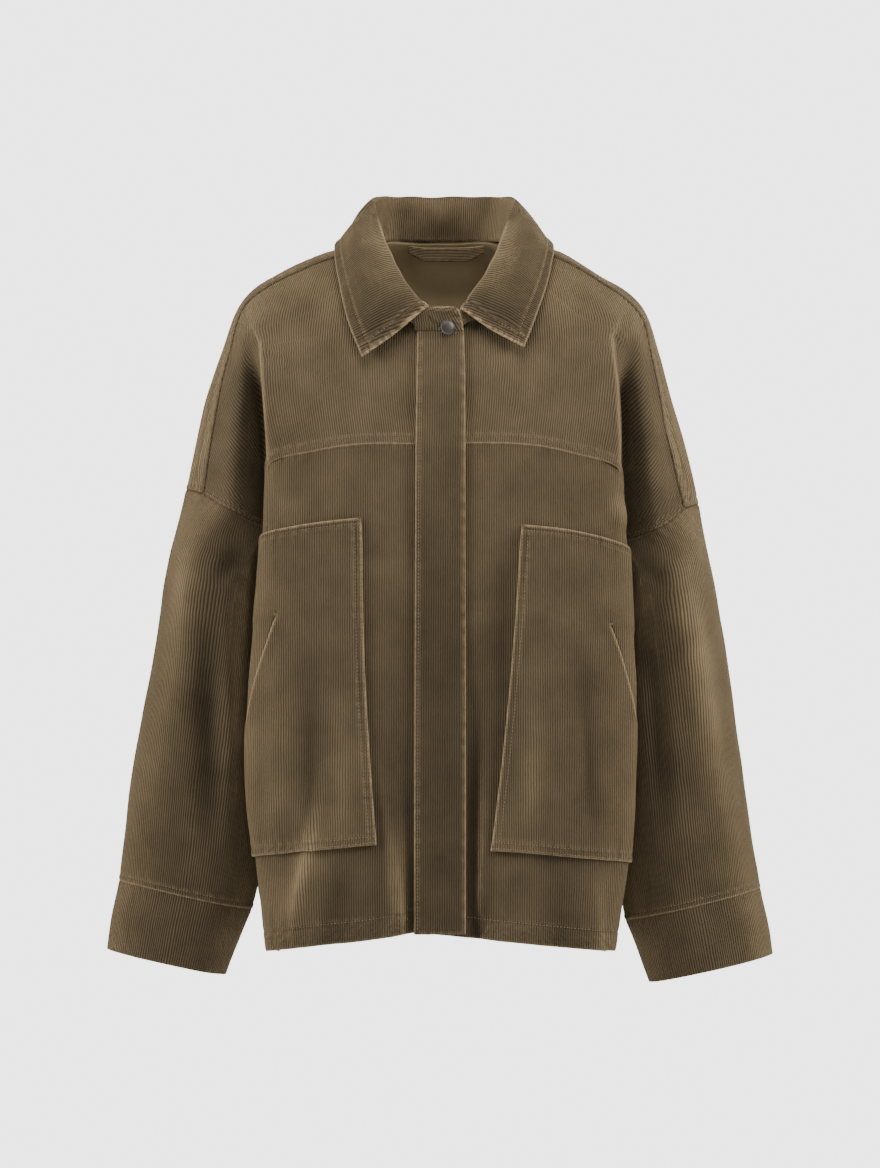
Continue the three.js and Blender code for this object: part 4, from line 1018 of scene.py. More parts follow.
@dataclass
class Half:
    """One half of the body: the grids of its panels, before they are joined to the other half.

    Attributes:
        side: which half.
        yoke_down: places down the yoke's table, the same for both halves.
        back_down: places down the back's tables, the same for both halves.
        yoke: the front yoke with the cap over the arm.
        front: the front below it.
        back_arm: the back's cap over the arm.
        back_body: the rest of the back.
        front_settled: the front as its folds and seams have lifted it.
    """

    side: Side
    yoke_down: np.ndarray
    back_down: np.ndarray
    yoke: Grid = field(init=False)
    front: Grid = field(init=False)
    back_arm: Grid = field(init=False)
    back_body: Grid = field(init=False)
    front_settled: Grid = field(init=False)

    def __post_init__(self) -> None:
        """Lays the panels, so that each edge lies on its neighbour's."""
        side = self.side
        self.yoke_points = controls_of(YOKE, side)
        self.front_points = controls_of(FRONT, side)
        self.back_yoke_points = np.concatenate([self.yoke_points[:, -1:], controls_of(BACK_YOKE, side)], 1)
        self.back_points = controls_of(BACK, side)
        self._lay_front()
        self._lay_back()

    def _lay_front(self) -> None:
        """Lays the yoke, and the front up to it."""
        sense = self.side.value
        self.yoke_across = marks(self.yoke_points.swapaxes(0, 1), end=RIM_MARKS)
        self.yoke = Grid(lay(self.yoke_points, self.yoke_across, self.yoke_down), sense)
        self._comb(self.yoke, self.yoke_across, self.yoke_down, crest=3.0)

        self.front_across = marks(self.front_points.swapaxes(0, 1))
        self.front_down = marks(self.front_points, start=(0.8, 1.8), end=HEM_MARKS)
        laid = lay(self.front_points, self.front_across, self.front_down)
        line = spline(self.yoke_points[-1], self._yoke_column(self.front_across))
        self.front = Grid(onto(laid, line, Edge.TOP, 8), sense)
        self.front.crease(FRONT_FOLDS[self.side], self.side)

    def _lay_back(self) -> None:
        """Lays the back's middle, and the cap over the arm up to it.

        Below the armpits the middle goes on in the lower table, whose first two intervals lie
        under the first one of the middle above.
        """
        side = self.side
        body_across = 3 + marks(self.back_yoke_points[:, 3:].swapaxes(0, 1), BACK_SPACING)
        column = np.where(body_across < 4, 2 * (body_across - 3), body_across - 2)
        upper = spline(self.back_yoke_points.swapaxes(0, 1), body_across)
        lower = spline(self.back_points.swapaxes(0, 1), column)
        rows = np.concatenate([upper, lower[:, 1:]], 1).swapaxes(0, 1)
        self.back_body = Grid(spline(rows, self.back_down), side.value)
        self.back_body.crease(BACK_FOLDS[side], side)
        self.back_body.grain[..., 0] = side.value * self.back_body.far(Edge.END)
        arm_down = self.back_down[self.back_down <= len(self.back_yoke_points) - 1]
        arm_across = marks(self.back_yoke_points[:, :4].swapaxes(0, 1), BACK_SPACING, FELL_MARKS)
        arm = lay(self.back_yoke_points, arm_across, arm_down)
        arm = onto(arm, self.back_body.points[: len(arm_down), 0], Edge.END, 5)
        self.back_arm = Grid(arm, side.value)
        self._comb(self.back_arm, 3 - arm_across, arm_down, crest=-0.8)

    @staticmethod
    def _yoke_column(front_column: np.ndarray) -> np.ndarray:
        """The yoke's column that a column of the front meets at the yoke seam."""
        return np.where(front_column < 3, front_column, 3 + (front_column - 3) / 2)

    def _comb(self, grid: Grid, across: np.ndarray, down: np.ndarray, crest: float) -> None:
        """Turns the cords of the cap over the arm, past a column of its table called crest."""
        lean = CAP_LEAN * smooth((across[None, :] - crest) / 1.1) * smooth((down[:, None] - 2.5) / 1.2)
        grid.grain = combed(grid.points, grid.outward, leaning(lean, self.side))

    def armhole(self, k: np.ndarray) -> np.ndarray:
        """The armhole as a closed line of 30 places, over the arm and then under it.

        It runs along the back cap's lower edge, the front cap's, the front's side and the back's.
        """
        parts = [
            (0, 4, self.back_yoke_points[-1], lambda j: 2 + (4 - j) / 4),
            (4, 8, self.back_yoke_points[-1], lambda j: 1 + (8 - j) / 4),
            (8, 10, self.back_yoke_points[-1], lambda j: (10 - j) / 2),
            (10, 18, self.yoke_points[-1], lambda j: 6 - (j - 10) / 4),
            (18, 24, self.front_points[:, -1], lambda j: (j - 18) / 3),
            (24, ARMHOLE_PLACES, self.back_points[:, 0], lambda j: (30 - j) / 3),
        ]
        found = np.zeros((len(k), 3))
        for low, high, points, column in parts:
            inside = (k >= low) & (k < high)
            found[inside] = spline(points, column(k[inside]))
        return found

    def panel(self, u: np.ndarray, v: np.ndarray) -> tuple[np.ndarray, np.ndarray, np.ndarray]:
        """Points, normals and cord coordinates of the creased front at shares across and down it."""
        rows = np.interp(v * (len(self.front_points) - 1), self.front_down, np.arange(len(self.front_down)))
        columns = np.interp(u * (self.front_points.shape[1] - 1), self.front_across,
                            np.arange(len(self.front_across)))
        return *self.front_settled.at(rows, columns), blend(self.front.grain[..., 0], rows, columns)

    def settle_front(self) -> None:
        """Keeps a copy of the front as it is once its folds have lifted it, for the pocket."""
        self.front_settled = self.front.settled()


def lay_halves() -> dict[Side, Half]:
    """Lays both halves of the body on the same rows, so that they meet in the middle."""
    yokes = np.concatenate([controls_of(YOKE, side) for side in Side], 1)
    backs = []
    for side in Side:
        lower = controls_of(BACK, side)[1:]
        lower = np.concatenate([lower[:, :1], lower], 1)
        backs.append(np.concatenate([controls_of(BACK_YOKE, side), lower]))
    yoke_down = marks(yokes, end=YOKE_MARKS)
    back_down = marks(np.concatenate(backs, 1), end=HEM_MARKS)
    return {side: Half(side, yoke_down, back_down) for side in Side}


@dataclass
class Looks:
    """The finishes of the jacket."""

    corduroy: bpy.types.Material
    reverse: bpy.types.Material
    thread: bpy.types.Material
    snap: bpy.types.Material


STITCH_POINTS = 24  # four rings of six points


@dataclass
class Thread:
    """All the topstitching, as short rounded stitches that dip into the cloth at both ends."""

    pitch: float = 3.5
    length: float = 2.5
    radius: float = 0.3
    vertices: list[np.ndarray] = field(default_factory=list)

    def sew(self, line: tuple[np.ndarray, np.ndarray]) -> None:
        """Adds stitches along a line.

        Each stitch is a tube of six sides through four rings: the two end rings are small and lie
        below the cloth, and the two middle ones lie on it.

        Args:
            line: points and outward normals along the line.
        """
        points, normals = line
        if len(points) < 3:
            return
        run = np.append(0, np.cumsum(np.linalg.norm(np.diff(points, axis=0), axis=1)))
        count = int((run[-1] - 1.0) / self.pitch)
        if count < 1:
            return
        starts = 0.8 + np.arange(count) * self.pitch
        at = starts[:, None] + np.array([0, 0.25, 0.75, 1]) * self.length
        centre = np.stack([np.interp(at, run, points[:, k]) for k in range(3)], -1)
        normal = unit(np.stack([np.interp(at, run, normals[:, k]) for k in range(3)], -1))
        aside = unit(np.cross((centre[:, -1] - centre[:, 0])[:, None], normal))
        centre = centre + normal * np.array([-0.3, 0.2, 0.2, -0.3])[:, None]
        radius = self.radius * np.array([0.35, 1, 1, 0.35])[None, :, None, None]
        turn = 2 * math.pi * np.arange(6) / 6
        ring = np.cos(turn)[:, None] * aside[:, :, None] + np.sin(turn)[:, None] * normal[:, :, None]
        self.vertices.append((centre[:, :, None] + radius * ring).reshape(-1, STITCH_POINTS, 3))

    def row(self, grid: Grid, edge: Edge, inset: float, low: float = 0.0, high: float = 1e9) -> None:
        """Sews a row beside an edge of a grid, on its relief, as Grid.line places it."""
        self.sew(grid.settled().line(edge, inset, low, high))

    def tack(self, point: np.ndarray, normal: np.ndarray) -> None:
        """Adds a bartack: five short upright stitches side by side."""
        for k in range(5):
            line = point + np.array([[(k - 2) * 0.75, 0, z] for z in (3.4, 0, -3.4)])
            self.sew((line, np.broadcast_to(normal, (3, 3))))

    def mesh(self, finish: bpy.types.Material) -> bpy.types.Object:
        """Builds all the stitches as one piece."""
        stitches = np.concatenate(self.vertices)
        ids = np.arange(STITCH_POINTS).reshape(4, 6)
        low, high = ids[:-1], ids[1:]
        sides = np.stack([low, np.roll(low, -1, 1), np.roll(high, -1, 1), high], -1).reshape(-1, 4)
        caps = np.array([[3, 2, 1, 0], [5, 4, 3, 0], [18, 19, 20, 21], [18, 21, 22, 23]])
        faces = np.concatenate([sides, caps])
        every = (faces[None] + STITCH_POINTS * np.arange(len(stitches))[:, None, None]).reshape(-1, 4)
        return new_mesh("topstitching", stitches.reshape(-1, 3), every, [finish])


@dataclass(frozen=True)
class Body:
    """The front yokes, the fronts and the back, with their seams and hems.

    Attributes:
        halves: the panels of each half.
        hem: how far the hem's stitches are from the edge.
        fell: the same for the felled band behind the shoulder seam.
        yoke_stitch: the same for the yoke seam across the chest.
        cap_stitch: the same for the yoke's lower edge over the arm.
    """

    halves: dict[Side, Half]
    hem: float = 20.0
    fell: float = 16.0
    yoke_stitch: float = 8.0
    cap_stitch: float = 4.0

    def relief(self, thread: Thread) -> None:
        """Adds every seam, hem and unevenness to the panels, and sews their stitches."""
        for side, half in self.halves.items():
            seed = 10 if side == Side.LEFT else 40
            yoke, front, arm, body = half.yoke, half.front, half.back_arm, half.back_body
            chest_end = int(np.abs(half.yoke_across - 3).argmin())
            chest = 3.2 + float(yoke.along(Edge.BOTTOM)[-1, chest_end])
            Seam(Edge.BOTTOM, self.yoke_stitch, 0.5, 0.6, 0.3, 9, 0.95, seed).press(yoke, 0, chest)
            Seam(Edge.BOTTOM, self.cap_stitch, 0.6, 0.5, 0.35, 8, 0.35, seed + 1).press(yoke, chest + 30)
            Seam(Edge.END, 1.4, 0.9, -0.4, 0.15, 7, 0.0, seed + 2).press(yoke)
            Seam(Edge.START, self.fell, 0.4, 0.9, 0.3, 7, 0.3, seed + 3).press(arm)
            Crest(CRESTS[side]).press(yoke, side)
            Seam(Edge.BOTTOM, 6.0, 0.4, 0.5, 0.3, 8, 0.5, seed + 4).press(arm)
            Seam(Edge.TOP, 1.5, 0.0, 0.0, 0.25, 9, 0.3, seed).press(front)
            Seam(Edge.BOTTOM, self.hem, 0.6, 0.4, 0.5, 13, 0.55, seed + 5).press(front)
            Seam(Edge.BOTTOM, self.hem, 0.6, 0.4, 0.5, 13, 0.55, seed + 6).press(body)
            Seam(Edge.START, 2.0, 0.0, 0.2, 0.3, 10, 0.2, seed + 7).press(body)
            self._shade(half)
            for grid in (yoke, front, arm, body):
                grid.lift += unevenness(grid.points)
            half.settle_front()
            thread.row(yoke, Edge.BOTTOM, self.yoke_stitch, 0, chest)
            thread.row(yoke, Edge.BOTTOM, self.cap_stitch, chest + 34)
            thread.row(arm, Edge.START, self.fell)
            thread.row(front, Edge.BOTTOM, self.hem, 24)
            thread.row(body, Edge.BOTTOM, self.hem)

    @staticmethod
    def _shade(half: Half) -> None:
        """Paints shade into the pile's tone: darker along joins, low on the fronts and past the crests, where
        shade falls, and the back a little darker in tone.
        """
        yoke, front, arm = half.yoke, half.front, half.back_arm
        out, height = seen(front.points, half.side)
        lower = smooth((-215 - height) / 330)
        # Painted shadow under the yoke seam, and painted shade darker towards the bottom of the front, most
        # near the middle.
        front.nap *= 1 - 0.5 * bell(front.far(Edge.TOP), 2.4)
        front.nap *= 0.88 - (0.28 - 0.2 * smooth((out - 45) / 70)) * lower
        out, height = seen(yoke.points, half.side)
        # Painted shade in the hollow past the crest, over the arm cap.
        crest = np.array(CRESTS[half.side], float)
        beyond = out - np.interp(-height, -crest[:, 1], crest[:, 0])
        fold = smooth((beyond + 1) / 3) * smooth(1 - beyond / 44) * smooth((-90 - height) / 80)
        yoke.nap *= 0.97 * (1 - 0.18 * smooth((beyond + 2) / 6)) * (1 - 0.5 * fold)
        # Painted shade along the shoulder seam, on the back's felled band and on the yoke's edge.
        arm.nap *= 0.8 - 0.55 * bell(arm.far(Edge.START), 1.7)
        yoke.nap *= 1 - 0.6 * bell(yoke.far(Edge.END), 1.5)
        half.back_body.nap *= 0.85

    def build(self, looks: Looks) -> None:
        """Builds the five panels."""
        for side, half in self.halves.items():
            hang(f"front_yoke_{side.key}", [half.yoke], looks)
            hang(f"front_{side.key}", [half.front], looks)
        backs = [grid for half in self.halves.values() for grid in (half.back_arm, half.back_body)]
        hang("back", backs, looks)


# The cloth that stands for each node: its name, thickness and bulge, and the width, length and flat
# area that it was cut to, in metres.
CUTS = {
    "front_yoke_left": ("yoke_cloth_left", CLOTH, 0.1, 0.33, 0.26, 0.054),
    "front_yoke_right": ("yoke_cloth_right", CLOTH, 0.1, 0.37, 0.26, 0.06),
    "front_left": ("front_cloth_left", CLOTH, 0.3, 0.28, 0.52, 0.126),
    "front_right": ("front_cloth_right", CLOTH, 0.3, 0.32, 0.52, 0.145),
    "back": ("back_cloth", CLOTH, 0.3, 0.75, 0.72, 0.43),
    "sleeve_left": ("sleeve_cloth_left", CLOTH, 0.1, 0.46, 0.4, 0.16),
    "sleeve_right": ("sleeve_cloth_right", CLOTH, 0.1, 0.46, 0.4, 0.16),
    "cuff_left": ("cuff_cloth_left", CLOTH, 0.3, 0.35, 0.07, 0.0245),
    "cuff_right": ("cuff_cloth_right", CLOTH, 0.3, 0.35, 0.07, 0.0245),
    "pocket_left": ("pocket_cloth_left", CLOTH, 0.5, 0.23, 0.34, 0.069),
    "pocket_right": ("pocket_cloth_right", CLOTH, 0.5, 0.24, 0.34, 0.071),
    "placket": ("placket_cloth", DOUBLE_CLOTH, 0.6, 0.05, 0.61, 0.0305),
    "neck_tab": ("neck_tab_cloth", DOUBLE_CLOTH, 0.6, 0.05, 0.025, 0.0012),
    "collar": ("collar_cloth", DOUBLE_CLOTH, 0.7, 0.52, 0.13, 0.058),
    "hanger_loop": ("hanger_strip", TAPE, 0.6, 0.078, 0.015, 0.0011),
}


def hang(stands_for: str, grids: list[Grid], looks: Looks) -> None:
    """Args:
        stands_for: the node's name.
        grids: what the cloth is joined from.
        looks: the finishes. The reverse shows only where the cloth is a single layer.
    """
    name, thickness, bulge, width, length, area = CUTS[stands_for]
    reverse = looks.reverse if thickness == CLOTH else looks.corduroy
    item = Wall(name, thickness, bulge, grids).mesh(looks.corduroy, reverse)
    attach(item, "root")
    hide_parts(stands_for)
    area = min(area, width * length)
    LOG.info("%s stands for %s: %d faces", item.name, stands_for, len(item.data.polygons))


@dataclass
class Sleeve:
    """One sleeve and its cuff, as rings that run down from the armhole."""

    half: Half
    per_place: int = 5
    stitch: float = 6.0
    sleeve: Grid = field(init=False)
    cuff: Grid = field(init=False)

    def __post_init__(self) -> None:
        """Lays the sleeve's and the cuff's grids.

        A ring is an ellipse through an outer and an inner point, made a little squarer by a power
        of its cosine and sine. Each point of the armhole runs down to an even place on the cuff.
        """
        side = self.half.side
        k = np.arange(ARMHOLE_PLACES * self.per_place) / self.per_place
        line = self.half.armhole(k)
        held = self.half.armhole(np.arange(float(ARMHOLE_PLACES)))
        centre = held.mean(0)
        first = SLEEVE_RINGS[side][0]
        slope = np.array([side.value * (first[0] - first[2]), 0, first[1] - first[3]], float)
        slope /= np.linalg.norm(slope)
        reach = np.abs((held - centre) @ slope).max()
        start = np.arctan2((line[:, 1] - centre[1]) / first[5], (line - centre) @ slope / reach)
        start = np.unwrap(start)
        turn = np.sign(start[-1] - start[0])
        even = start[0] + turn * 2 * math.pi * k / ARMHOLE_PLACES
        rings = [self._ring(row, start + (even - start) * min(1, (n + 1) / 3))
                 for n, row in enumerate(SLEEVE_RINGS[side])]
        controls = self._closed(np.stack([line, *rings]))
        down = marks(controls, start=(0.8, 1.8, 2.8), end=(0.8, 1.8, 5, 6, 7))
        self.sleeve = Grid(spline(controls, down), -side.value, closed=True)
        forwards = np.clip((SLEEVE_MIDDLE - self.sleeve.points[..., 1]) / SLEEVE_FORWARDS, 0, None)
        self.sleeve.crease(SLEEVE_FOLDS[side], side, forwards)
        ends = smooth(down / 0.33) * smooth((len(controls) - 1 - down) / 0.5)
        self.sleeve.lift *= ends[:, None]
        cuffs = self._closed(np.stack([self._ring(row, even) for row in CUFF_RINGS[side]]))
        self.cuff = Grid(spline(cuffs, marks(cuffs, 3, RIM_MARKS, (0.7, 1.6))), -side.value, closed=True)
        for grid, lean in ((self.sleeve, SLEEVE_LEAN), (self.cuff, CUFF_LEAN)):
            angle = np.full(grid.points.shape[:2], lean)
            grid.grain = combed(grid.points, grid.outward, leaning(angle, side), 10)

    def _closed(self, rings: np.ndarray) -> np.ndarray:
        """Rings that start and end at the middle of the underarm."""
        rings = np.roll(rings, -24 * self.per_place, 1)
        return np.concatenate([rings, rings[:, :1]], 1)

    def _ring(self, row: tuple[float, ...], angles: np.ndarray) -> np.ndarray:
        """The points of a ring at the given angles."""
        side = self.half.side
        outer = place(np.array([row[0], row[4], row[1]], float), side)
        inner = place(np.array([row[2], row[4], row[3]], float), side)
        c, s = np.cos(angles), np.sin(angles)
        across = np.sign(c) * np.abs(c) ** RING_POWER
        deep = np.sign(s) * np.abs(s) ** RING_POWER
        centre, half = (outer + inner) / 2, (outer - inner) / 2
        return centre + across[:, None] * half + deep[:, None] * np.array([0, row[5], 0])

    def relief(self, thread: Thread) -> None:
        """Adds the sleeve's and the cuff's seams, and sews the cuff's stitches."""
        seed = 70 if self.half.side == Side.LEFT else 90
        Seam(Edge.TOP, 1.4, 0.7, -0.4, 0.3, 9, 0.1, seed).press(self.sleeve)
        Seam(Edge.BOTTOM, self.stitch, 0.4, 0.5, 0.3, 10, 0.95, seed + 1).press(self.sleeve)
        Seam(Edge.TOP, 1.5, 0.3, -0.3, 0.25, 10, 0.1, seed + 2).press(self.cuff)
        Seam(Edge.BOTTOM, 3.0, 0.0, 0.0, 0.15, 12, 0.2, seed + 3).press(self.cuff)
        for grid in (self.sleeve, self.cuff):
            grid.lift += unevenness(grid.points)
            # Painted shade: the sleeves are darker than the body, the left one more.
            grid.nap *= 0.7 if self.half.side == Side.LEFT else 0.78
        thread.row(self.sleeve, Edge.BOTTOM, self.stitch)

    def build(self, looks: Looks) -> None:
        """Builds the sleeve and the cuff."""
        hang(f"sleeve_{self.half.side.key}", [self.sleeve], looks)
        hang(f"cuff_{self.half.side.key}", [self.cuff], looks)


# Corners of the pockets [out, height], their slanted hand openings, and where they end at the side.
POCKETS = {
    Side.LEFT: {
        "top_inner": (79, -277), "top_outer": (166, -291),
        "bottom_inner": (64, -602), "bottom_outer": (176, -616),
        "slit_top": (161, -374), "slit_bottom": (187, -485), "side_top": (0, -350),
    },
    Side.RIGHT: {
        "top_inner": (82, -283), "top_outer": (176, -302),
        "bottom_inner": (51, -608), "bottom_outer": (178, -622),
        "slit_top": (168, -384), "slit_bottom": (190, -482), "side_top": (0, -362),
    },
}


# Distances from a pocket's top and from its inner edge that get points of their own, for its seams.
POCKET_ROWS = (0.8, 1.7, 4.1, 5.0, 5.9, 321.2, 322.2, 323.2, 327.8, 329.0)
POCKET_COLUMNS = (0.8, 1.6, 6.0, 7.0, 8.0)


@dataclass
class Pocket:
    """A patch pocket laid on the front, with a slanted opening at the side."""

    half: Half
    columns: int = 48
    side_columns: int = 30
    grid: Grid = field(init=False)
    opened: np.ndarray = field(init=False)
    slit: int = field(init=False)

    def __post_init__(self) -> None:
        """Finds the pocket's corners on the front, and the places of its rows and columns.

        The columns run from the inner edge to the line of the slit, and on behind it to the side.
        """
        shape = POCKETS[self.half.side]
        spot = dict(zip(shape, zip(*self._find(np.array(list(shape.values()), float)))))
        side_top = self._solve(lambda v: shape["side_top"][1] - self._seen(np.full_like(v, SIDE_EDGE), v)[1],
                               np.zeros(1), np.ones(1))[0]
        length = spot["bottom_outer"][1] - spot["top_outer"][1]
        slit_top, slit_bottom = ((spot[name][1] - spot["top_outer"][1]) / length
                                 for name in ("slit_top", "slit_bottom"))
        stops = np.array([0, slit_top, slit_bottom, 1])
        counts = np.maximum(2, (np.diff(stops) * POCKET_LENGTH / SPACING).astype(int))
        even = [low + (high - low) * np.arange(n) / n for low, high, n in zip(stops, stops[1:], counts)]
        t = np.sort(np.concatenate([*even, np.array(POCKET_ROWS) / POCKET_LENGTH, [1.0]]))[:, None]

        slit_at = spot["slit_top"][0]
        end = np.interp(t, stops, [(slit_at + CREST_COLUMN) / 2, slit_at, CREST_COLUMN, CREST_COLUMN])
        begin = spot["top_inner"][0] + (spot["bottom_inner"][0] - spot["top_inner"][0]) * t
        share_in = (np.arange(self.columns + 1) / self.columns) ** CREST_EASE
        share_in = np.sort(np.concatenate([share_in, np.array(POCKET_COLUMNS) / POCKET_WIDTH]))
        inner = begin + (end - begin) * share_in
        outer = (np.arange(1, self.side_columns + 1) / self.side_columns) ** (1 / CREST_EASE)
        across = np.concatenate([inner, end + (SIDE_EDGE - end) * outer], 1)
        tilt = np.minimum(1, across / CREST_COLUMN)
        behind = np.maximum(0, (across - CREST_COLUMN) / (SIDE_EDGE - CREST_COLUMN))
        top = spot["top_inner"][1] + (spot["top_outer"][1] - spot["top_inner"][1]) * tilt
        top = top + (side_top - top) * behind
        low = spot["bottom_inner"][1] + (spot["bottom_outer"][1] - spot["bottom_inner"][1]) * tilt
        down = top + (low - top) * t

        self.slit = len(share_in) - 1
        ease = 0.1 * (slit_bottom - slit_top)
        self.opened = (smooth((t - slit_top) / ease) * smooth((slit_bottom - t) / ease))[:, 0]
        self._lay(across, down, (end - across) * FRONT_WIDTH)
        rows = (t[:-1, 0] >= slit_top - 1e-6) & (t[:-1, 0] < slit_bottom - 1e-6)
        self.grid.holes = rows[:, None] & (np.arange(across.shape[1] - 1) == self.slit)[None]

    def _lay(self, across: np.ndarray, down: np.ndarray, from_slit: np.ndarray) -> None:
        """Lays the grid on the front, a little open at the slit.

        Args:
            across: shares across the front, [rows, columns].
            down: shares down it.
            from_slit: how far each point is from the line of the slit, in millimetres.
        """
        points, normals, cords = self.half.panel(across.ravel(), down.ravel())
        behind_slit = np.arange(across.shape[1]) > self.slit
        mouth = bell(from_slit, 9) * ~behind_slit
        height = LAY_GAP + CLOTH + self.opened[:, None] * (1.2 * mouth - 1.0 * behind_slit)
        points = (points + normals * height.reshape(-1, 1)).reshape(*across.shape, 3)
        self.grid = Grid(points, self.half.side.value)
        self.grid.wear = self.opened[:, None] * 0.9 * bell(from_slit, 1.2) * ~behind_slit
        self.grid.grain[..., 0] = cords.reshape(across.shape) + 1.1
        self.grid.nap[:] = 0.82

    def _seen(self, u: np.ndarray, v: np.ndarray) -> tuple[np.ndarray, np.ndarray]:
        """How far out and how high the uncreased front looks at shares across and down it."""
        controls = self.half.front_points
        rows = spline(controls, v * (len(controls) - 1)).swapaxes(0, 1)
        return seen(spline(rows, u * (controls.shape[1] - 1), paired=True), self.half.side)

    @staticmethod
    def _solve(error: Callable[[np.ndarray], np.ndarray], low: np.ndarray, high: np.ndarray) -> np.ndarray:
        """Halves each interval 24 times, towards where its error passes from below 0 to above it."""
        for _ in range(24):
            middle = (low + high) / 2
            below = error(middle) < 0
            low, high = np.where(below, middle, low), np.where(below, high, middle)
        return (low + high) / 2

    def _find(self, wanted: np.ndarray) -> tuple[np.ndarray, np.ndarray]:
        """Where the front shows the points [out, height], in front of its crest."""
        count = len(wanted)
        none, u, v = np.zeros(count), np.full(count, CREST_COLUMN / 2), np.full(count, 0.5)
        for _ in range(8):
            u = self._solve(lambda t: self._seen(t, v)[0] - wanted[:, 0], none, np.full(count, CREST_COLUMN))
            v = self._solve(lambda t: wanted[:, 1] - self._seen(u, t)[1], none, np.ones(count))
        return u, v

    def relief(self, thread: Thread) -> None:
        """Adds the pocket's edges, and sews its stitches."""
        seed = 120 if self.half.side == Side.LEFT else 140
        out, height = seen(self.grid.points, self.half.side)
        # Painted highlight on the ridges of the front's folds and painted shade in their troughs.
        self.grid.nap *= rubbed(sum(fold.lift(out, height) for fold in FRONT_FOLDS[self.half.side]))
        Seam(Edge.START, 6.5, 0.6, 0.4, 0.25, 8, 0.85, seed).press(self.grid)
        Seam(Edge.TOP, 5.0, 0.5, 0.4, 0.25, 9, 0.85, seed + 1).press(self.grid)
        Seam(Edge.BOTTOM, 8.0, 0.6, 0.4, 0.35, 10, 0.85, seed + 2).press(self.grid)
        rows = self.opened > 0.2
        settled = self.grid.settled()
        points, normals = settled.points, settled.normals()
        thread.sew((points[rows, self.slit - 2], normals[rows, self.slit - 2]))
        first = int(np.argmax(self.opened > 0.02))
        thread.tack(points[first, self.slit], normals[first, self.slit])
        for edge, insets in ((Edge.START, (1.6, 7.0)), (Edge.TOP, (5.0,)), (Edge.BOTTOM, (2.0, 8.0))):
            for inset in insets:
                thread.row(self.grid, edge, inset)

    def build(self, looks: Looks) -> None:
        """Builds the pocket."""
        hang(f"pocket_{self.half.side.key}", [self.grid], looks)


@dataclass
class Collar:
    """The pointed collar, laid from one short front edge round the neck to the other."""

    stitch: float = 10.0
    grid: Grid = field(init=False)
    stand: np.ndarray = field(init=False)
    roll: int = field(init=False)

    def __post_init__(self) -> None:
        """Lays the collar's grid: its columns run from the neck over the roll to the free edge."""
        controls = np.concatenate([controls_of(COLLAR, Side.LEFT), controls_of(COLLAR, Side.RIGHT)[-2::-1]])
        controls[:, 0, 2] += COLLAR_RISE
        across = marks(controls.swapaxes(0, 1), 2.8, end=COLLAR_MARKS)
        down = marks(controls, 3.2, COLLAR_MARKS, COLLAR_MARKS)
        self.grid = Grid(lay(controls, across, down), 1)
        natural = unit(np.gradient(self.grid.points, axis=1))
        wing = np.array([0.87, 0, -0.5]) * np.sign(self.grid.points[..., :1]) ** np.array([1, 0, 0])
        front = smooth((5.1 - np.minimum(down, down[-1] - down)) / 1.3)[:, None]
        front = front * smooth((across - 0.9) / 0.25)[None]
        trust = 0.12 + 0.88 * (2 * front - 1) ** 2
        self.grid.grain = combed(self.grid.points, 1, natural + (wing - natural) * front[..., None], 4, trust)
        self.stand = smooth((1.05 - across) / 0.3)
        self.roll = int(np.abs(across - 1).argmin())

    def relief(self, thread: Thread) -> None:
        """Adds the puckered band inside the topstitching, and sews it."""
        grid = self.grid
        Seam(Edge.END, self.stitch, 0.7, 0.5, 0.3, 10, 0.9, 160).press(grid)
        Seam(Edge.TOP, self.stitch, 0.7, 0.5, 0.4, 7, 0.95, 161).press(grid)
        Seam(Edge.BOTTOM, self.stitch, 0.7, 0.5, 0.4, 7, 0.95, 162).press(grid)
        Seam(Edge.START, 2.0, 0.2, 0.2, 0.2, 8, 0.6, 163).press(grid)
        grid.lift += 0.5 * sway(grid.points, 30, 8)
        # Painted light on the stand, which is made lighter than the fall, and painted shade at the stand's
        # sides.
        aside = smooth((np.abs(grid.points[..., 0]) - 20) / 35)
        grid.nap *= 0.58 + (0.66 - 0.3 * aside) * self.stand
        far = grid.far(Edge.START)
        # A lighter line along the roll: partly wear, partly painted highlight.
        rolled = bell(far - far[:, self.roll : self.roll + 1], 1.3)
        ends = np.minimum(grid.far(Edge.TOP), grid.far(Edge.BOTTOM))
        overcast = bell(ends, 2.4) * (0.75 + 0.65 * np.sin(2 * math.pi * far / 3.6))
        for wear in (0.8 * rolled * smooth((150 - ends) / 30), overcast):
            grid.wear = np.maximum(grid.wear, wear)
        thread.row(grid, Edge.END, self.stitch, 10, float(grid.along(Edge.END)[-1, -1]) - 10)
        thread.row(grid, Edge.TOP, self.stitch, 55)
        thread.row(grid, Edge.BOTTOM, self.stitch, 55)

    def build(self, looks: Looks) -> None:
        """Builds the collar."""
        hang("collar", [self.grid], looks)


CAP_TURN = 20.0  # degrees by which the snap's cap faces aside
# The half outline of the cap, from the middle of its back to the middle of its face: radius, height.
CAP_PROFILE = [
    (0.02, 0), (5, 0), (7.2, 0), (7.42, 0.1), (7.5, 0.45), (7.5, 1.1), (7.42, 1.4), (7.2, 1.62), (6.95, 1.68),
    (6.72, 1.62), (6.55, 1.5), (6.3, 1.48), (6.0, 1.62), (5.2, 1.98), (4.1, 2.3), (2.8, 2.48), (1.4, 2.57),
    (0.02, 2.6),
]


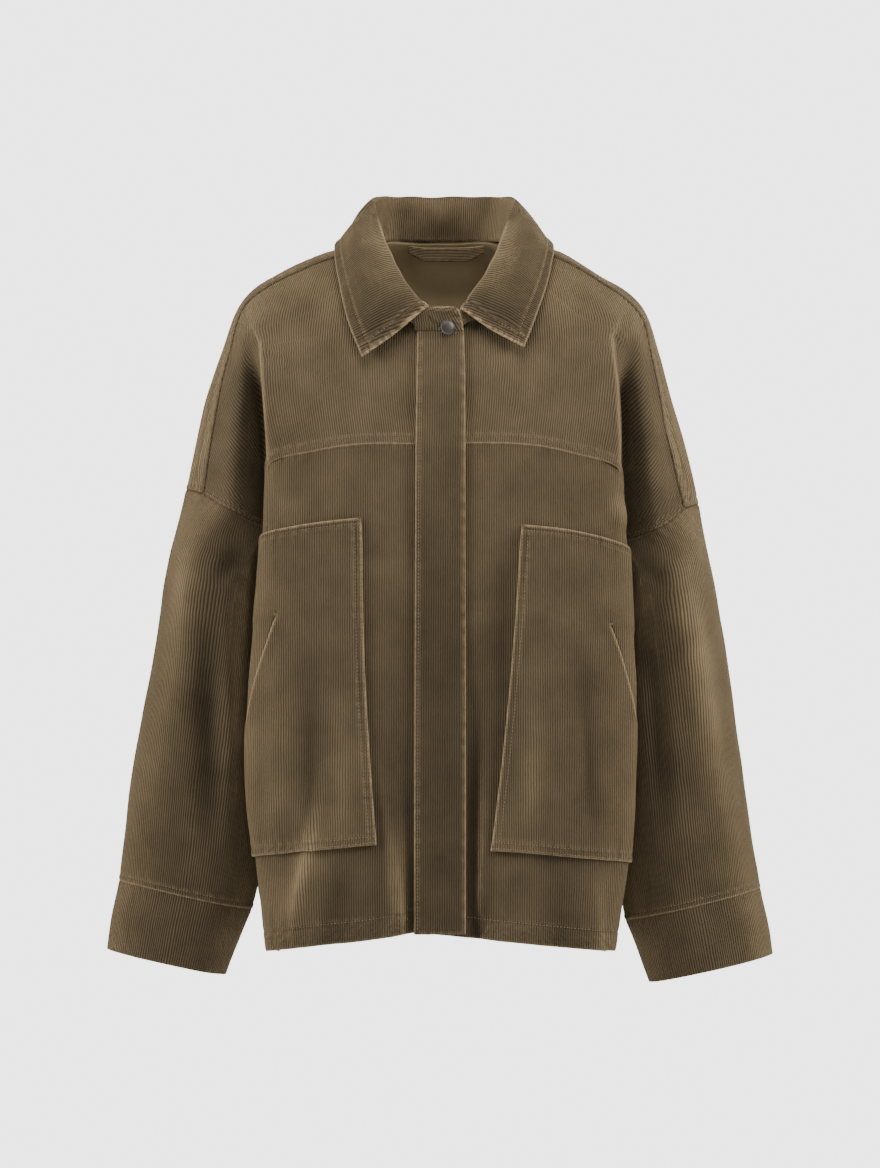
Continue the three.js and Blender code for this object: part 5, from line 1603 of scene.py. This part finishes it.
@dataclass
class Closure:
    """The fly placket, the end of the neckband above it, and the snap's cap on that."""

    rounding: float = 0.4
    placket: Grid = field(init=False)
    tab: Grid = field(init=False)

    def __post_init__(self) -> None:
        """Lays both strips."""
        self.placket = self._strip(PLACKET, 36, 3.2)
        self.tab = self._strip(TAB, 48, 0.9)
        start, bend, end = TAB_CREASE
        beyond = (self.tab.points[..., 0] - start[0]) * 0.77 + (self.tab.points[..., 2] - start[1]) * 0.64
        self.tab.grain = combed(self.tab.points, 1, leaning(TAB_LEAN * smooth(beyond / 2 + 0.5), Side.RIGHT))
        creases = [Fold(start, bend, -1.3, 1.4), Fold(bend, end, -1.0, 1.2, 0.3), Fold(start, end, 0.8, 3.0)]
        self.tab.crease(creases, Side.RIGHT)

    def _strip(self, table: list[tuple[float, ...]], columns: int, spacing: float) -> Grid:
        """A strip between its left and right edges, a little rounded over.

        The depth grows by rounding times the square of the distance from its middle line.
        """
        rows = np.array(table, float)
        share = np.arange(columns + 1) / columns
        out = rows[:, 1:2] + (rows[:, 2:3] - rows[:, 1:2]) * share
        depth = rows[:, 3:4] + self.rounding * (2 * share - 1) ** 2
        height = np.broadcast_to(rows[:, :1], out.shape)
        controls = place(np.stack([out, depth, height], -1), Side.RIGHT)
        return Grid(spline(controls, marks(controls, spacing)), 1)

    def relief(self, thread: Thread) -> None:
        """Adds the edges of both strips, and the placket's stitches."""
        Seam(Edge.START, 3.0, 0.4, 0.3, 0.2, 11, 0.65, 180).press(self.placket)
        Seam(Edge.END, 1.6, 0.1, 0.2, 0.3, 12, 0.7, 181).press(self.placket)
        Seam(Edge.BOTTOM, 3.0, 0.2, 0.2, 0.3, 9, 0.5, 182).press(self.placket)
        Seam(Edge.TOP, 2.0, 0.3, 0.4, 0.3, 6, 1.0, 183).press(self.tab)
        Seam(Edge.END, 2.0, 0.3, 0.4, 0.3, 6, 0.8, 184).press(self.tab)
        self.placket.lift += unevenness(self.placket.points)
        # Painted shade: the placket is darker towards the bottom.
        self.placket.nap *= 0.82 - 0.3 * smooth((-110 - self.placket.points[..., 2]) / 330)
        self.tab.nap *= 0.82
        self.tab.lift += 0.3 * sway(self.tab.points, 12, 9)
        thread.row(self.placket, Edge.START, 3.0)

    def build(self, looks: Looks) -> None:
        """Builds the placket, the neckband's end and the snap's cap."""
        hang("placket", [self.placket], looks)
        hang("neck_tab", [self.tab], looks)
        self._cap(looks)

    @staticmethod
    def _cap(looks: Looks) -> None:
        """The snap's cap: a half outline turned once round its axis, set where its node is."""
        low, high = (np.array(corner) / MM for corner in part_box("snap_cap"))
        middle = (low + high) / 2
        profile = np.array(CAP_PROFILE, float)
        steps = 96
        turn = 2 * math.pi * np.arange(steps) / steps
        flat = profile[:, :1, None] * np.stack([np.cos(turn), np.sin(turn)], -1)[None]
        flat = flat.reshape(len(profile), steps, 2)
        rise = np.broadcast_to(profile[:, 1:, None], (len(profile), steps, 1))
        lean = math.radians(CAP_TURN)
        x = flat[..., 0] * math.cos(lean) + rise[..., 0] * math.sin(lean)
        y = flat[..., 0] * math.sin(lean) - rise[..., 0] * math.cos(lean)
        points = np.stack([x, y, flat[..., 1]], -1)
        points = points + middle - (points.reshape(-1, 3).max(0) + points.reshape(-1, 3).min(0)) / 2
        ids = np.arange(len(profile) * steps).reshape(len(profile), steps)
        below, above = ids[:-1], ids[1:]
        faces = np.stack([below, above, np.roll(above, -1, 1), np.roll(below, -1, 1)], -1).reshape(-1, 4)
        item = new_mesh("snap_cap_domed", points.reshape(-1, 3), faces, [looks.snap])
        close_poles(item)
        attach(item, "root")
        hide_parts("snap_cap")
        LOG.info("%s stands for snap_cap", item.name)


def close_poles(item: bpy.types.Object) -> None:
    """Merges a turned shape's points at its poles and makes its faces point outwards."""
    work = bmesh.new()
    work.from_mesh(item.data)
    bmesh.ops.remove_doubles(work, verts=work.verts, dist=0.05 * MM)
    bmesh.ops.recalc_face_normals(work, faces=work.faces)
    work.to_mesh(item.data)
    work.free()


@dataclass(frozen=True)
class HangerLoop:
    """The folded strip inside the back neck, which stands clear of the back between its ends.

    Attributes:
        left: x of its left end.
        right: x of its right end.
        top: height of its upper edge at its ends.
        end: its width at its ends.
        bottom: height of its lower edge where it hangs.
        bulge: how far it stands forward between its ends.
        depth: y of its ends' outer face at the middle of the neck.
        curve: how fast that comes forward to the sides.
        finer: how many times finer its cords are than the cloth's.
    """

    left: float = -32.0
    right: float = 45.0
    top: float = -2.0
    end: float = 6.0
    bottom: float = -17.0
    bulge: float = 6.0
    depth: float = 69.3
    curve: float = 0.0052
    finer: float = 1.5

    def build(self, looks: Looks, thread: Thread) -> None:
        """Builds the loop and its row of stitches.

        Its ends are short, and between them it sags and stands forward by a clipped half sine.
        """
        share = np.linspace(0, 1, 49)
        x = self.left + (self.right - self.left) * share
        sag = np.minimum(1, np.sin(math.pi * share) * 1.6)
        top = self.top - 2 * sag
        low = self.top - self.end + (self.bottom - self.top + self.end) * sag
        down = np.linspace(0, 1, 9)[:, None]
        height = top + (low - top) * down
        y = self.depth - self.curve * x**2 - self.bulge * sag
        points = np.stack([np.broadcast_to(x, height.shape), np.broadcast_to(y, height.shape), height], -1)
        grid = Grid(points, 1)
        grid.grain = grid.grain[..., ::-1] * self.finer
        Seam(Edge.TOP, 1.8, 0.1, 0.2, 0.15, 7, 0.6, 200).press(grid)
        Seam(Edge.BOTTOM, 1.8, 0.1, 0.2, 0.15, 7, 0.6, 201).press(grid)
        grid.nap *= 1.3
        thread.row(grid, Edge.TOP, 1.8)
        hang("hanger_loop", [grid], looks)


def linear(colour: str) -> tuple[float, float, float, float]:
    """An sRGB hex colour as linear red, green, blue and alpha."""
    values = [int(colour[k : k + 2], 16) / 255 for k in (0, 2, 4)]
    return (*(v / 12.92 if v <= 0.04045 else ((v + 0.055) / 1.055) ** 2.4 for v in values), 1.0)


def feed(tree: bpy.types.NodeTree, fed: bpy.types.Node, **inputs: object) -> None:
    """Sets or links a node's inputs.

    Args:
        tree: the node's tree.
        fed: the node.
        inputs: values or sockets by input name, where _ stands for a space and in0 for the first.
    """
    for name, value in inputs.items():
        numbered = name[:2] == "in" and name[2:].isdigit()
        socket = fed.inputs[int(name[2:]) if numbered else name.replace("_", " ")]
        if isinstance(value, bpy.types.NodeSocket):
            tree.links.new(value, socket)
        else:
            socket.default_value = value


def node(
    tree: bpy.types.NodeTree, kind: str, settings: dict | None = None, **inputs: object
) -> bpy.types.Node:
    """Adds a shader node with its own settings by name, and with inputs as feed() takes them."""
    made = tree.nodes.new(kind)
    for name, value in (settings or {}).items():
        setattr(made, name, value)
    feed(tree, made, **inputs)
    return made


def reckon(
    tree: bpy.types.NodeTree, operation: str, *values: object, clamp: bool = False
) -> bpy.types.NodeSocket:
    """What a math node makes of numbers or sockets."""
    settings = {"operation": operation, "use_clamp": clamp}
    return node(tree, "ShaderNodeMath", settings, **{f"in{k}": v for k, v in enumerate(values)}).outputs[0]


def mixed(
    tree: bpy.types.NodeTree, first: object, second: object, share: object = 1.0, blend_type: str = "MIX"
) -> bpy.types.NodeSocket:
    """Two colours mixed by a share of the second."""
    settings = {"data_type": "RGBA", "blend_type": blend_type}
    return node(tree, "ShaderNodeMix", settings, in0=share, in6=first, in7=second).outputs[2]


def noise(
    tree: bpy.types.NodeTree, where: bpy.types.NodeSocket, scale: float, detail: float = 2.0,
    rough: float = 0.5,
) -> bpy.types.NodeSocket:
    """Soft noise from 0 to 1."""
    inputs = {"Vector": where, "Scale": scale, "Detail": detail, "Roughness": rough}
    return node(tree, "ShaderNodeTexNoise", **inputs).outputs["Fac"]


def ranged(
    tree: bpy.types.NodeTree, value: bpy.types.NodeSocket, low: float, high: float, start: float = 0.0,
    end: float = 1.0,
) -> bpy.types.NodeSocket:
    """A value between start and end, moved to between low and high."""
    inputs = {"From_Min": start, "From_Max": end, "To_Min": low, "To_Max": high}
    return node(tree, "ShaderNodeMapRange", Value=value, **inputs).outputs[0]


def painted(tree: bpy.types.NodeTree, name: str) -> bpy.types.NodeSocket:
    """What is painted on the mesh's points under a name."""
    return node(tree, "ShaderNodeAttribute", {"attribute_name": name}).outputs["Fac"]


def bumped(
    tree: bpy.types.NodeTree, height: bpy.types.NodeSocket, strength: float, depth: float
) -> bpy.types.NodeSocket:
    """The normal of a relief of a depth in millimetres."""
    return node(tree, "ShaderNodeBump", Height=height, Strength=strength, Distance=depth * MM).outputs[0]


def object_place(tree: bpy.types.NodeTree) -> bpy.types.NodeSocket:
    """The place in the object."""
    return node(tree, "ShaderNodeTexCoord").outputs["Object"]


def grain_map(tree: bpy.types.NodeTree) -> bpy.types.NodeSocket:
    """The place across and along the cords, in metres."""
    return node(tree, "ShaderNodeUVMap", {"uv_map": "grain"}).outputs["UV"]


def new_material(name: str) -> tuple[bpy.types.Material, bpy.types.NodeTree, bpy.types.Node]:
    """An empty node material with its Principled shader."""
    material = bpy.data.materials.new(name)
    material.use_nodes = True
    tree = material.node_tree
    return material, tree, next(n for n in tree.nodes if n.type == "BSDF_PRINCIPLED")


@dataclass(frozen=True)
class Corduroy:
    """Cotton corduroy: pile woven into cords and cut, brushed and garment-washed.

    The cords' rounded tops are painted lighter and the grooves painted darker, as painted highlight and
    painted shade, besides their relief. The cut pile is matt with a faint sheen at grazing angles, and it is
    rubbed lighter along seams and edges. Its tone differs from piece to piece, as each was cut with or
    against the pile's direction, and painted shade darkens joins, hollows, fold troughs, the sleeves and the
    lower parts, with painted highlight on fold ridges.
    """

    # The cords' tops are lightened as painted highlight and the grooves darkened as painted shade.
    top: str = "5b4e3a"
    groove: str = "2f281d"
    worn: str = "8f7b5e"
    sheen: str = "a6906b"
    cord: float = WALE
    depth: float = 0.88

    def make(self) -> bpy.types.Material:
        """Builds the material on the grain map, which is in metres across and along the cords."""
        material, tree, shader = new_material("cotton_corduroy")
        where, grain = object_place(tree), grain_map(tree)
        across = node(tree, "ShaderNodeSeparateXYZ", in0=grain).outputs["X"]
        across = reckon(tree, "MULTIPLY", across, 1 / (self.cord * MM))
        across = reckon(tree, "MULTIPLY_ADD", noise(tree, where, 70.0), 0.5, across)
        signed = reckon(tree, "MULTIPLY_ADD", reckon(tree, "FRACT", across), 2.0, -1.0)
        cord = reckon(tree, "SUBTRACT", 1.0, reckon(tree, "MULTIPLY", signed, signed))
        tufts_at = node(tree, "ShaderNodeMapping", Vector=grain, Scale=(1500.0, 420.0, 1.0)).outputs[0]
        tufts = noise(tree, tufts_at, 1.0, 3.0, 0.65)
        height = reckon(tree, "MULTIPLY_ADD", tufts, 0.5, cord)
        gather = reckon(tree, "MULTIPLY", noise(tree, where, 210.0, 1.0), painted(tree, "pucker"))
        height = reckon(tree, "MULTIPLY_ADD", gather, 3.0, height)
        tone = reckon(tree, "MULTIPLY_ADD", tufts, 0.7, -0.35)
        # Painted highlight on the cords' tops and painted shade in the grooves.
        lit = reckon(tree, "MULTIPLY_ADD", cord, 0.85, tone, clamp=True)
        colour = mixed(tree, linear(self.groove), linear(self.top), lit)
        patches = ranged(tree, noise(tree, where, 26.0, 4.0, 0.6), 0.8, 1.14, 0.3, 0.7)
        for shade in (patches, painted(tree, "nap")):
            colour = mixed(tree, colour, shade, blend_type="MULTIPLY")
        rub = reckon(tree, "MULTIPLY", painted(tree, "wear"), tufts, clamp=True)
        rub = reckon(tree, "MULTIPLY", rub, 1.5, clamp=True)
        colour = mixed(tree, colour, linear(self.worn), rub)
        feed(tree, shader, Base_Color=colour, Normal=bumped(tree, height, 1.0, self.depth), Roughness=0.95,
             Specular_IOR_Level=0.08, Sheen_Weight=0.7, Sheen_Roughness=0.35, Sheen_Tint=linear(self.sheen))
        return material


@dataclass(frozen=True)
class CorduroyReverse:
    """The back of the corduroy: a plain woven cotton ground without pile, smooth and matt."""

    # Lighter than the face, partly as painted light for the inside of the neck, which lies in shade.
    colour: str = "a39372"
    shade: str = "928162"
    thread: float = 0.9

    def make(self) -> bpy.types.Material:
        """Builds the material: fine crossed threads, drawn as coarse as they need to show."""
        material, tree, shader = new_material("corduroy_reverse")
        grain = node(tree, "ShaderNodeSeparateXYZ", in0=grain_map(tree))
        count = 2 * math.pi / (self.thread * MM)
        waves = [reckon(tree, "SINE", reckon(tree, "MULTIPLY", grain.outputs[axis], count)) for axis in "XY"]
        patches = noise(tree, object_place(tree), 40.0, 3.0)
        colour = mixed(tree, linear(self.shade), linear(self.colour), patches)
        normal = bumped(tree, reckon(tree, "MULTIPLY", *waves), 0.25, 0.1)
        feed(tree, shader, Base_Color=colour, Normal=normal, Roughness=0.9, Specular_IOR_Level=0.2)
        return material


@dataclass(frozen=True)
class CottonThread:
    """Spun cotton-polyester sewing thread, a little lighter than the cloth, with a twist."""

    colour: str = "67583f"

    def make(self) -> bpy.types.Material:
        """Builds the material: fine uneven brightness for the twisted fibres."""
        material, tree, shader = new_material("sewing_thread")
        twist = ranged(tree, noise(tree, object_place(tree), 900.0), 0.75, 1.15)
        colour = mixed(tree, linear(self.colour), twist, blend_type="MULTIPLY")
        feed(tree, shader, Base_Color=colour, Roughness=0.8)
        return material


@dataclass(frozen=True)
class Gunmetal:
    """Pressed brass cap with a dark gunmetal plating, tumbled to a soft satin."""

    colour: str = "45413c"

    def make(self) -> bpy.types.Material:
        """Builds the material: fine tumbling marks in its roughness and relief."""
        material, tree, shader = new_material("gunmetal_plating")
        tumbled = noise(tree, object_place(tree), 1400.0, 4.0, 0.7)
        rough, normal = ranged(tree, tumbled, 0.4, 0.6), bumped(tree, tumbled, 0.12, 0.05)
        feed(tree, shader, Base_Color=linear(self.colour), Metallic=1.0, Roughness=rough, Normal=normal)
        return material


# The studio's lights: where each is, in metres, its size and its power.
LIGHTS = {
    "top_light": ((0.0, -1.15, 1.7), 1.1, 62.0),
    "left_light": ((-3.4, -1.2, 1.2), 1.1, 210.0),
    "right_light": ((3.4, -1.1, 1.2), 1.1, 215.0),
    "back_light": ((0.8, 3.8, 1.6), 2.2, 110.0),
}


@dataclass(frozen=True)
class Studio:
    """A pale studio: a round floor far below, an even pale surround, soft lights and the camera.

    Attributes:
        floor_height: height of the floor.
        floor_radius: its radius.
        surround: the surround's colour.
        ambient: strength of the light that the surround gives.
        shown: its strength as the camera sees it.
    """

    floor_height: float = -1350.0
    floor_radius: float = 3000.0
    surround: str = "e7e6e6"
    ambient: float = 0.55
    shown: float = 4.4

    def build(self) -> None:
        """Builds the floor, the lights, the surround and the camera."""
        self._floor()
        self._surround()
        for name, light in LIGHTS.items():
            self._light(name, *light)
        data = bpy.data.cameras.new("camera")
        data.sensor_width = 36.0
        data.lens = 36.0 * VIEW_DISTANCE / PICTURE[1]
        data.clip_start, data.clip_end = 0.1, 60.0
        camera = bpy.data.objects.new("camera", data)
        camera.location = (0.0, -VIEW_DISTANCE * MM, VIEW_HEIGHT * MM)
        camera.rotation_euler = (math.pi / 2, 0.0, 0.0)
        bpy.context.scene.collection.objects.link(camera)
        bpy.context.scene.camera = camera

    def _floor(self) -> None:
        """A round floor, as rings of points about its middle."""
        turn = 2 * math.pi * np.arange(96) / 96
        radii = np.array([1.0, 900.0, 1800.0, self.floor_radius])
        flat = radii[:, None, None] * np.stack([np.cos(turn), np.sin(turn)], -1)
        points = np.concatenate([flat, np.full((*flat.shape[:2], 1), self.floor_height)], -1)
        ids = np.arange(points.shape[0] * 96).reshape(-1, 96)
        inner, outer = ids[:-1], ids[1:]
        faces = np.stack([inner, outer, np.roll(outer, -1, 1), np.roll(inner, -1, 1)], -1).reshape(-1, 4)
        material, tree, shader = new_material("pale_paper")
        tone = ranged(tree, noise(tree, object_place(tree), 4.0), 0.74, 0.8)
        feed(tree, shader, Base_Color=tone, Roughness=0.9)
        floor = new_mesh("floor", points.reshape(-1, 3), faces, [material])

    def _surround(self) -> None:
        """An even pale surround."""
        world = bpy.data.worlds.new("pale_surround")
        world.use_nodes = True
        tree = world.node_tree
        shade = tree.nodes["Background"]
        in_view = node(tree, "ShaderNodeLightPath").outputs["Is Camera Ray"]
        strength = ranged(tree, in_view, self.ambient, self.shown)
        feed(tree, shade, Color=linear(self.surround), Strength=strength)
        bpy.context.scene.world = world

    @staticmethod
    def _light(name: str, spot: tuple[float, float, float], size: float, power: float) -> None:
        """A square soft light that faces the middle of the jacket."""
        data = bpy.data.lights.new(name, "AREA")
        data.size, data.energy = size, power
        lamp = bpy.data.objects.new(name, data)
        lamp.location = spot
        lamp.visible_camera = False
        aim = Vector((0, 0, VIEW_HEIGHT * MM)) - Vector(spot)
        lamp.rotation_euler = aim.to_track_quat("-Z", "Y").to_euler()
        bpy.context.scene.collection.objects.link(lamp)


def main() -> None:
    """Loads the frame, dresses every node, and sets up the studio."""
    logging.basicConfig(level=logging.INFO, format="%(name)s: %(message)s")
    for item in list(bpy.data.objects):
        bpy.data.objects.remove(item)
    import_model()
    looks = Looks(Corduroy().make(), CorduroyReverse().make(), CottonThread().make(), Gunmetal().make())
    thread = Thread()
    halves = lay_halves()
    body = Body(halves)
    body.relief(thread)
    body.build(looks)
    for half in halves.values():
        for piece in (Sleeve(half), Pocket(half)):
            piece.relief(thread)
            piece.build(looks)
    for piece in (Collar(), Closure()):
        piece.relief(thread)
        piece.build(looks)
    HangerLoop().build(looks, thread)
    stitches = thread.mesh(looks.thread)
    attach(stitches, "root")
    LOG.info("%d stitches", len(stitches.data.vertices) // STITCH_POINTS)
    Studio().build()


if __name__ == "__main__":
    main()
